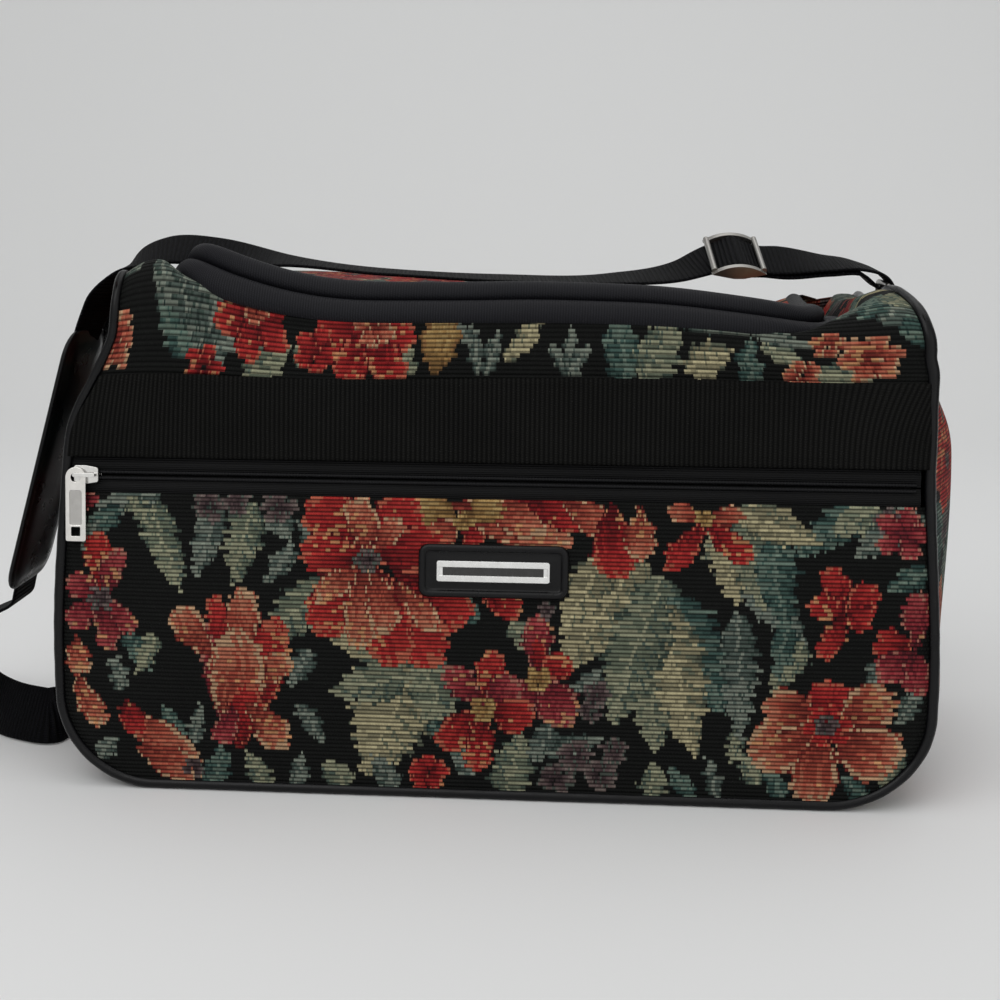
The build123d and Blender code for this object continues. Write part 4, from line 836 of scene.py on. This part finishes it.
def rounded_ring(half_x, half_y, radius, count):
    """Closed ring of points on a rectangle with round corners, evenly by arc length."""
    angle = np.linspace(0, math.pi / 2, 9)
    arc = np.stack([np.cos(angle), np.sin(angle)], -1) * radius
    ring = []
    for quarter, (sx, sy) in enumerate(((1, 1), (-1, 1), (-1, -1), (1, -1))):
        turn = quarter * math.pi / 2
        spin = np.array([[math.cos(turn), math.sin(turn)], [-math.sin(turn), math.cos(turn)]])
        ring.append(arc @ spin + (sx * (half_x - radius), sy * (half_y - radius)))
    return resampled(np.concatenate(ring + [ring[0][:1]]), count + 1)[:-1]


# Inset and height of each rectangle
levels = [(0.0, -0.8), (-0.1, 0.4), (0.2, 1.2), (0.9, 1.75), (1.9, 1.95), (2.9, 1.75), (3.5, 1.15),
          (3.9, 0.6), (4.6, 0.45), (6.5, 0.8), (9.5, 1.0), (12.6, 1.0)]
rings = []
for inset, height in levels:
    ring = rounded_ring(BADGE_HALF - inset, BADGE_TALL - inset, max(BADGE_ROUND - inset, 0.6), BADGE_SIDES)
    rings.append(front(BADGE_X + ring[:, 0], BADGE_S + ring[:, 1], height))
uv = np.meshgrid(np.linspace(0, 190, BADGE_SIDES + 1), np.arange(len(levels)) * 2.0)
badge = piece("badge_pad", np.array(rings), uv, "badge_patch", VINYL, ring=True)


def metal_material(name, colour, rough, stripe=None, recess_shade_level=None):
    """Plated metal with faint wear and eased edges. stripe darkens a bar of the badge's plate, given by its
    middle height, half height and half width; the recess level puts painted shade on what lies less far out
    than that from the leaning front. Both are read from the object's own place, in metres."""
    material, tree, shader = new_material(name, rough)
    place = add_node(tree, "TexCoord").outputs["Object"]
    wear = noise(tree, place, 220, 4)
    tone = ramp(tree, wear, 0.8, 1.1)
    if stripe:
        middle, tall, wide = stripe
        axes = add_node(tree, "SeparateXYZ", place).outputs
        off = calc(tree, "ABSOLUTE", calc(tree, "SUBTRACT", axes["Z"], middle))
        aside = calc(tree, "ABSOLUTE", calc(tree, "SUBTRACT", axes["X"], BADGE_X * MM))
        bare = calc(tree, "MAXIMUM", calc(tree, "GREATER_THAN", off, tall),
                    calc(tree, "GREATER_THAN", aside, wide))
        tone = calc(tree, "MULTIPLY", tone, ramp(tree, bare, 0.08, 1.0))
    # Painted shade: what lies below the recess level, the pull's sunk panel, is darkened to 0.6 of its colour
    if recess_shade_level:
        out = add_node(tree, "VectorMath", place, OUTWARD, operation="DOT_PRODUCT").outputs["Value"]
        tone = calc(tree, "MULTIPLY", tone, ramp(tree, calc(tree, "GREATER_THAN", out, recess_shade_level), 0.6, 1.0))
    tint(tree, shader, colour, tone)
    shader.inputs["Metallic"].default_value = 1.0
    ease = add_node(tree, "Bevel", Radius=0.0004)
    ease.samples = 6
    tree.links.new(ease.outputs[0], shader.inputs["Normal"])
    tree.links.new(ramp(tree, wear, rough - 0.06, rough + 0.12), shader.inputs["Roughness"])
    return material


def dress(node, material, width=0.0):
    """A CAD node with a material of its own, and edges eased by a width in millimetres."""
    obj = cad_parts[node]
    obj.data.materials.clear()
    obj.data.materials.append(material)
    if width:
        weld = obj.modifiers.new("weld", "WELD")
        weld.merge_threshold = 0.00001
        ease = obj.modifiers.new("ease", "BEVEL")
        ease.width, ease.segments, ease.limit_method = width * MM, 2, "ANGLE"
        ease.angle_limit, ease.harden_normals = math.radians(35), True


PLATE_MID = (BADGE_S * math.cos(LEAN) + 2.5 * math.sin(LEAN)) * MM
PLATE = metal_material("badge plate", (0.84, 0.84, 0.83), 0.24, stripe=(PLATE_MID, 0.0021, 0.0255))
dress("badge_plate", PLATE, 0.15)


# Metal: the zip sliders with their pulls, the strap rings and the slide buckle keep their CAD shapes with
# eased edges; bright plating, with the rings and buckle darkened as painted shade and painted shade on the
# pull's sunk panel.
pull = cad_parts["pocket_pull"].data.vertices
PULL_FACE = max(-v.co.y * math.cos(LEAN) + v.co.z * math.sin(LEAN) for v in pull)
CHROME = metal_material("bright plating", (0.8, 0.79, 0.77), 0.2)
# Painted shade on the pocket pull's sunk panel, below the face of its frame
FRAMED_WITH_SHADE = metal_material("framed plating with painted shade", (0.84, 0.82, 0.79), 0.2, recess_shade_level=PULL_FACE - 0.0002)
# Painted shade: the rings and the buckle get a darker plating colour that stands in for the shade they lie in
SHADED_PLATING = metal_material("shade-darkened plating", (0.34, 0.33, 0.31), 0.3)
for nodes, plating in ((("pocket_slider", "top_slider", "top_pull"), CHROME), (("pocket_pull",), FRAMED_WITH_SHADE),
                       (("left_strap_ring", "right_strap_ring", "slide_buckle"), SHADED_PLATING)):
    for node in nodes:
        dress(node, plating)


# Shoulder strap: 32 mm webbing from the left ring, down behind the corner, round on the floor, up through
# the shoulder pad, over the top and doubled back through the right ring to the buckle. A flat strip is
# swept along its route, worked out from the buckle's end as places and directions across the strap.
STRAP_HALF, STRAP_THICK, STRAP_WIDE = 15.6, 1.7, 32.0
LEVEL, UP, EIGHTH = np.array([0, 1, 0]), np.array([0, 0, 1]), math.sqrt(0.5)
RIGHT_BAR, LEFT_BAR, BAR_WRAP = np.array([206.255, 30, 253.021]), np.array([-216.111, 30, 233.095]), 2.85
INTO_RING, DROP_Y, LID_RISE = unit(np.array([[16, 2, -10.85]]))[0], -22.0, 15.5
BUCKLE_X, BUCKLE_RISE, BUCKLE_REACH, BUCKLE_TILT = 125.0, 16.0, 13.0, 25.0
CORE_WRAP, FIXED_OUT, MAIN_OUT, CROWN_OUT = 2.65, -2.6, -0.45, 4.8
PAD_TOP, PAD_FALL, PAD_LONG = np.array([-219.0, DROP_Y, 231]), np.array([-0.2917, 0, -0.9565]), 147.4
STRAP_ALONG = unit(np.array([[2 * RIGHT_BAR[0], RIGHT_BAR[1] - DROP_Y, 0]]))[0]
STRAP_SIDE = np.cross(UP, STRAP_ALONG)


def over_lid(x, rise):
    """Place on the strap's line over the lid, at a height above the lid's sloping top."""
    share = (RIGHT_BAR[0] - x) / (2 * RIGHT_BAR[0])
    lid_top = RIM_Z + LID_RISE * math.cos(RIM_TILT) - x * math.sin(RIM_TILT)
    return np.array([x, RIGHT_BAR[1] + (DROP_Y - RIGHT_BAR[1]) * share, lid_top + rise])


def tilted(angle):
    """Direction across the strap with its far edge raised by an angle in degrees."""
    return STRAP_SIDE * math.cos(math.radians(angle)) + UP * math.sin(math.radians(angle))


def on_buckle(*places):
    """Rows of the route at places in the buckle's side view: along the strap, and out of its face."""
    middle, side = over_lid(BUCKLE_X, BUCKLE_RISE), tilted(BUCKLE_TILT)
    face = np.cross(STRAP_ALONG, side)
    return [(middle + STRAP_ALONG * along + face * height, side) for along, height in places]


def half_turn(bar, ahead, side):
    """Rows of the route round a ring's bar, from one side of it over to the other."""
    shares = (0, 1), (EIGHTH, EIGHTH), (1, 0), (EIGHTH, -EIGHTH), (0, -1)
    return [(bar + (ahead * a + side * b) * BAR_WRAP, LEVEL) for a, b in shares]


def in_shares(sizes, rows):
    """Rows of the route from shares of three sizes, each with a direction across the strap."""
    return [(np.array(row[:3]) * sizes, row[3:]) for row in rows]


# Free end round the buckle's core, then doubled to the right ring and back over the buckle
hem = [(0.6, 0.8), (0, 1), (-EIGHTH, EIGHTH), (-1, 0), (-EIGHTH, -EIGHTH), (0, -1)]
wave = [(1, 0), (0.5, 0.55), (0, 1), (-0.5, 0.55), (-1, 0)]
beside, sloped = on_buckle((2 * BUCKLE_REACH, -1.5))[0]
doubled = [(beside - UP * 0.9, sloped, 1.15),
           (over_lid(RIGHT_BAR[0] - STRAP_WIDE, 13.2), tilted(BUCKLE_TILT / 2), 1.15),
           (over_lid(RIGHT_BAR[0] - STRAP_WIDE / 2, 12.2), tilted(BUCKLE_TILT / 4), 1.3)]
route = on_buckle(*[(CORE_WRAP * a, CORE_WRAP * b) for a, b in hem])
route += on_buckle(*[(BUCKLE_REACH * a, FIXED_OUT) for a in (0.5, 1)])
route += [(place - UP * gap, side) for place, side, gap in doubled]
route += half_turn(RIGHT_BAR, INTO_RING, np.cross(LEVEL, INTO_RING))
route += [(place + UP * gap, side) for place, side, gap in reversed(doubled)]
route += on_buckle(*[(BUCKLE_REACH * a, MAIN_OUT + (CROWN_OUT - MAIN_OUT) * b) for a, b in wave])

# Over the lid by share of the half width, rise and lift of the far edge, then round the left shoulder and
# down through the pad
lifts = [(0, 3.6, 0.04), (-0.28, 5.9, 0.02), (-0.51, 8.1, 0.1), (-0.7, 5.15, 0.48), (-0.82, 3.3, 0.42)]
route += [(over_lid(FOOT * 0.4502, 9.5), tilted(16)), (over_lid(FOOT * 0.27, 4), tilted(6))]
route += [(over_lid(FOOT * share, rise), STRAP_SIDE + UP * lift) for share, rise, lift in lifts]
route += [((-193.3, -20.6, 254.5), (0, 0.99, 0.3)), ((-201.5, DROP_Y, 248.5), (0.18, 0.97, 0.1)),
          ((-211, DROP_Y, 240), (0.25, 0.97, 0)), ((-215, DROP_Y, 233.9), (0.2, 0.98, 0))]
stops = PAD_LONG / 3, PAD_LONG * 2 / 3, PAD_LONG + 3, PAD_LONG + 9
route += [(PAD_TOP + PAD_FALL * stop, LEVEL) for stop in stops]

# Round on the floor, in shares of the half width, the half depth and the strap's width
route += in_shares((FOOT, HALF_DEPTH, STRAP_WIDE), [
    (-1.26, -0.2305, 2.36, 0, 1, 0), (-1.31, -0.2305, 2.2, 0, 1, 0), (-1.37, -0.2305, 1.92, 0, 1, 0),
    (-1.45, -0.1905, 1.41, 0, 0.92, 0.38), (-1.52, -0.08, 0.92, 0, 0.71, 0.71),
    (-1.585, 0.08, 0.63, 0, 0.35, 0.94), (-1.613, 0.2705, 0.53, 0, 0, 1), (-1.576, 0.42, 0.52, 0, 0, 1),
    (-1.5, 0.44, 0.52, 0, 0, 1), (-1.438, 0.316, 0.52, 0, 0, 1), (-1.382, 0.084, 0.51, 0, 0.2, 0.98),
    (-1.313, -0.15, 0.47, 0, 0.5, 0.86), (-1.217, -0.295, 0.47, 0, 0.5, 0.86),
    (-1.138, -0.337, 0.48, 0.1, 0.4, 0.91), (-1.106, -0.2305, 0.51, 0.1, 0.1, 0.99),
    (-1.111, 0, 0.51, -0.3, 0, 0.95), (-1.12, 0.2095, 0.4, -0.71, 0, 0.71), (-1.124, 0.4, 0.1, -1, 0, 0.1),
    (-1.129, 0.526, 0.17, -1, 0, 0), (-1.134, 0.59, 0.62, -1, 0, 0)])

# Up behind the corner to the left ring, in shares of the half width, the half depth and the height
route += in_shares((FOOT, HALF_DEPTH, TOP), [
    (-1.138, 0.568, 0.203, -0.92, 0.38, 0), (-1.129, 0.495, 0.386, -0.6, 0.8, 0),
    (-1.106, 0.41, 0.59, -0.25, 0.97, 0), (-1.088, 0.347, 0.752, 0, 1, 0), (-1.046, 0.321, 0.862, 0, 1, 0)])
rising = unit(np.array([LEFT_BAR - route[-1][0]]))[0]
aside = np.cross(rising, LEVEL)
route += half_turn(LEFT_BAR, rising, aside)
route += [(LEFT_BAR - rising * (STRAP_WIDE / 2) - aside * 1.25, LEVEL)]

# The rows, to a tenth of a millimetre
places, sides = zip(*route)
STRAP_ROUTE = np.hstack([np.round(places, 1), np.round(sides, 2)])


def hermite(table, step):
    """Smooth run through a table's rows: cubic pieces whose slopes come from the neighbours by chord."""
    chord = run_length(table[:, :3])
    slope = np.gradient(table, chord, axis=0)
    even = np.linspace(0, chord[-1], int(chord[-1] / step))
    k = np.clip(np.searchsorted(chord, even, "right") - 1, 0, len(chord) - 2)
    h = (chord[k + 1] - chord[k])[:, None]
    t = ((even - chord[k])[:, None]) / h
    return ((2 * t ** 3 - 3 * t ** 2 + 1) * table[k] + (t ** 3 - 2 * t ** 2 + t) * h * slope[k]
            + (3 * t ** 2 - 2 * t ** 3) * table[k + 1] + (t ** 3 - t ** 2) * h * slope[k + 1])


run = hermite(STRAP_ROUTE, 1.6)
path, across = run[:, :3], run[:, 3:]
path = settle(path, PUFFS[:1])
along = unit(np.gradient(path, axis=0))
across = unit(across - np.sum(across * along, 1, keepdims=True) * along)
out = np.cross(along, across)
section = [(-1, 0), (-0.97, 0.42), (-0.9, 0.5), (-0.45, 0.5), (0, 0.5), (0.45, 0.5), (0.9, 0.5), (0.97, 0.42)]
section = np.array(section + [(-w, -t) for w, t in section])
wide = section[:, :1] * STRAP_HALF
points = path[:, None] + wide * across[:, None] + section[:, 1:] * STRAP_THICK * out[:, None]
points[..., 2] = np.maximum(points[..., 2], 0.3)
length = run_length(path)
uv = np.broadcast_arrays(length[:, None], np.append(wide, wide[0]))
strap = piece("strap_webbing", points, uv, "shoulder_strap", STRAP_WEB, ring=True)


# Shoulder pad: a stuffed vinyl pad that the strap runs through, hanging at the left end. A crowned closed
# form with a pressed edge, made of rounded rectangles from one face over to the other.
PAD_OUT = np.array([PAD_FALL[2], 0, -PAD_FALL[0]])
PAD_HALF, PAD_ROUND, PAD_SIDES = 30.0, 14.0, 120
levels = [(30, 3.4), (22, 3.3), (14, 3.1), (9, 2.8), (6, 2.2), (4.6, 1.7), (3.4, 1.5), (1.2, 1.35),
          (0.3, 0.8), (0, 0)]
levels = levels + [(inset, -height) for inset, height in levels[-2::-1]]
middle = PAD_TOP + PAD_FALL * PAD_LONG / 2
rings = []
for inset, height in levels:
    ring = rounded_ring(PAD_LONG / 2 - inset, PAD_HALF - inset, max(PAD_ROUND - inset, 0), PAD_SIDES)
    rings.append(middle + ring[:, :1] * PAD_FALL + ring[:, 1:] * np.array([0, 1, 0]) + height * PAD_OUT)
uv = np.meshgrid(np.linspace(0, 380, PAD_SIDES + 1), np.arange(len(levels)) * 3.0)
pad = piece("shoulder_pad_form", np.array(rings), uv, "shoulder_pad", VINYL, ring=True)
for node in ("left_strap_tab", "right_strap_tab"):
    dress(node, VINYL, 0.4)


# Hidden pieces: the pocket's lining and the base board keep their CAD shapes in plain black.
# Neither shows from outside, so one dull colour is enough.
PLAIN = plain_material("plain black", (0.02, 0.02, 0.02), 0.8)
for node in ("pocket_backing", "base_board"):
    dress(node, PLAIN)


# Stage: a pale floor that sweeps up behind, a white surround that is brighter in front and above, a large
# soft key from the upper left, a top light, a weak fill and the camera. Lengths here are in metres.
def lamp(name, place, target, size, power):
    """Soft square light that faces a point."""
    light = bpy.data.lights.new(name, "AREA")
    light.size, light.energy = size, power
    obj = bpy.data.objects.new(name, light)
    obj.location = place
    aim = np.array(target, float) - np.array(place, float)
    yaw, flat = math.atan2(aim[1], aim[0]), math.hypot(aim[0], aim[1])
    obj.rotation_euler = (math.pi / 2 + math.atan2(aim[2], flat), 0, yaw - math.pi / 2)
    bpy.context.collection.objects.link(obj)


sweep = rounded([(-3.0, 0.0), (2.2, 0.0), (2.2, 3.0)], [1.2], 0.05)
gx, gy = np.meshgrid(np.linspace(-4, 4, 3), sweep[:, 0])
gz = np.repeat(sweep[:, 1:], 3, 1)
quads = quads_of(np.arange(gx.size).reshape(gx.shape))
floor_mesh = bpy.data.meshes.new("floor")
floor_mesh.from_pydata(np.stack([gx, gy, gz], -1).reshape(-1, 3).tolist(), [], quads.tolist())
floor_mesh.shade_smooth()
floor = bpy.data.objects.new("floor", floor_mesh)
bpy.context.collection.objects.link(floor)
floor_mesh.materials.append(plain_material("pale floor", (0.74, 0.745, 0.75), 0.8))

world = bpy.data.worlds.new("surround")
bpy.context.scene.world = world
world.use_nodes = True
tree = world.node_tree
sky = tree.nodes["Background"]
rays = add_node(tree, "LightPath").outputs["Is Camera Ray"]
toward = add_node(tree, "SeparateXYZ", add_node(tree, "TexCoord").outputs["Generated"]).outputs
ahead = calc(tree, "MAXIMUM", calc(tree, "MULTIPLY", toward["Y"], -1.0), 0.0)
ahead = calc(tree, "MULTIPLY", calc(tree, "MULTIPLY", ahead, ahead), 0.7)
above = calc(tree, "MULTIPLY", calc(tree, "MAXIMUM", toward["Z"], 0.0), 0.45)
glow = calc(tree, "ADD", calc(tree, "ADD", ahead, above), 0.15)
tree.links.new(calc(tree, "MAXIMUM", glow, calc(tree, "MULTIPLY", rays, 0.8)), sky.inputs["Strength"])
sky.inputs["Color"].default_value = (1.0, 1.0, 0.985, 1)
lamp("key", (-0.7, -1.1, 1.5), (0, 0, 0.12), 1.4, 10)
lamp("top", (0.2, 0.3, 1.7), (0, 0, 0.1), 1.6, 8)
lamp("fill", (1.2, -1.2, 0.7), (0, 0, 0.12), 1.2, 2)

camera = bpy.data.cameras.new("camera")
camera.lens, camera.sensor_width = 57.6, 36
camera.dof.use_dof = False
eye = bpy.data.objects.new("camera", camera)
azimuth, elevation, distance = math.radians(5), math.radians(12), 0.802
aim = np.array([0.007, -0.075, 0.152])
eye.location = aim + distance * np.array([math.sin(azimuth) * math.cos(elevation),
                                          -math.cos(azimuth) * math.cos(elevation), math.sin(elevation)])
eye.rotation_euler = (math.pi / 2 - elevation, 0, azimuth)
bpy.context.collection.objects.link(eye)
bpy.context.scene.camera = eye
bpy.context.scene.view_settings.view_transform = "Standard"
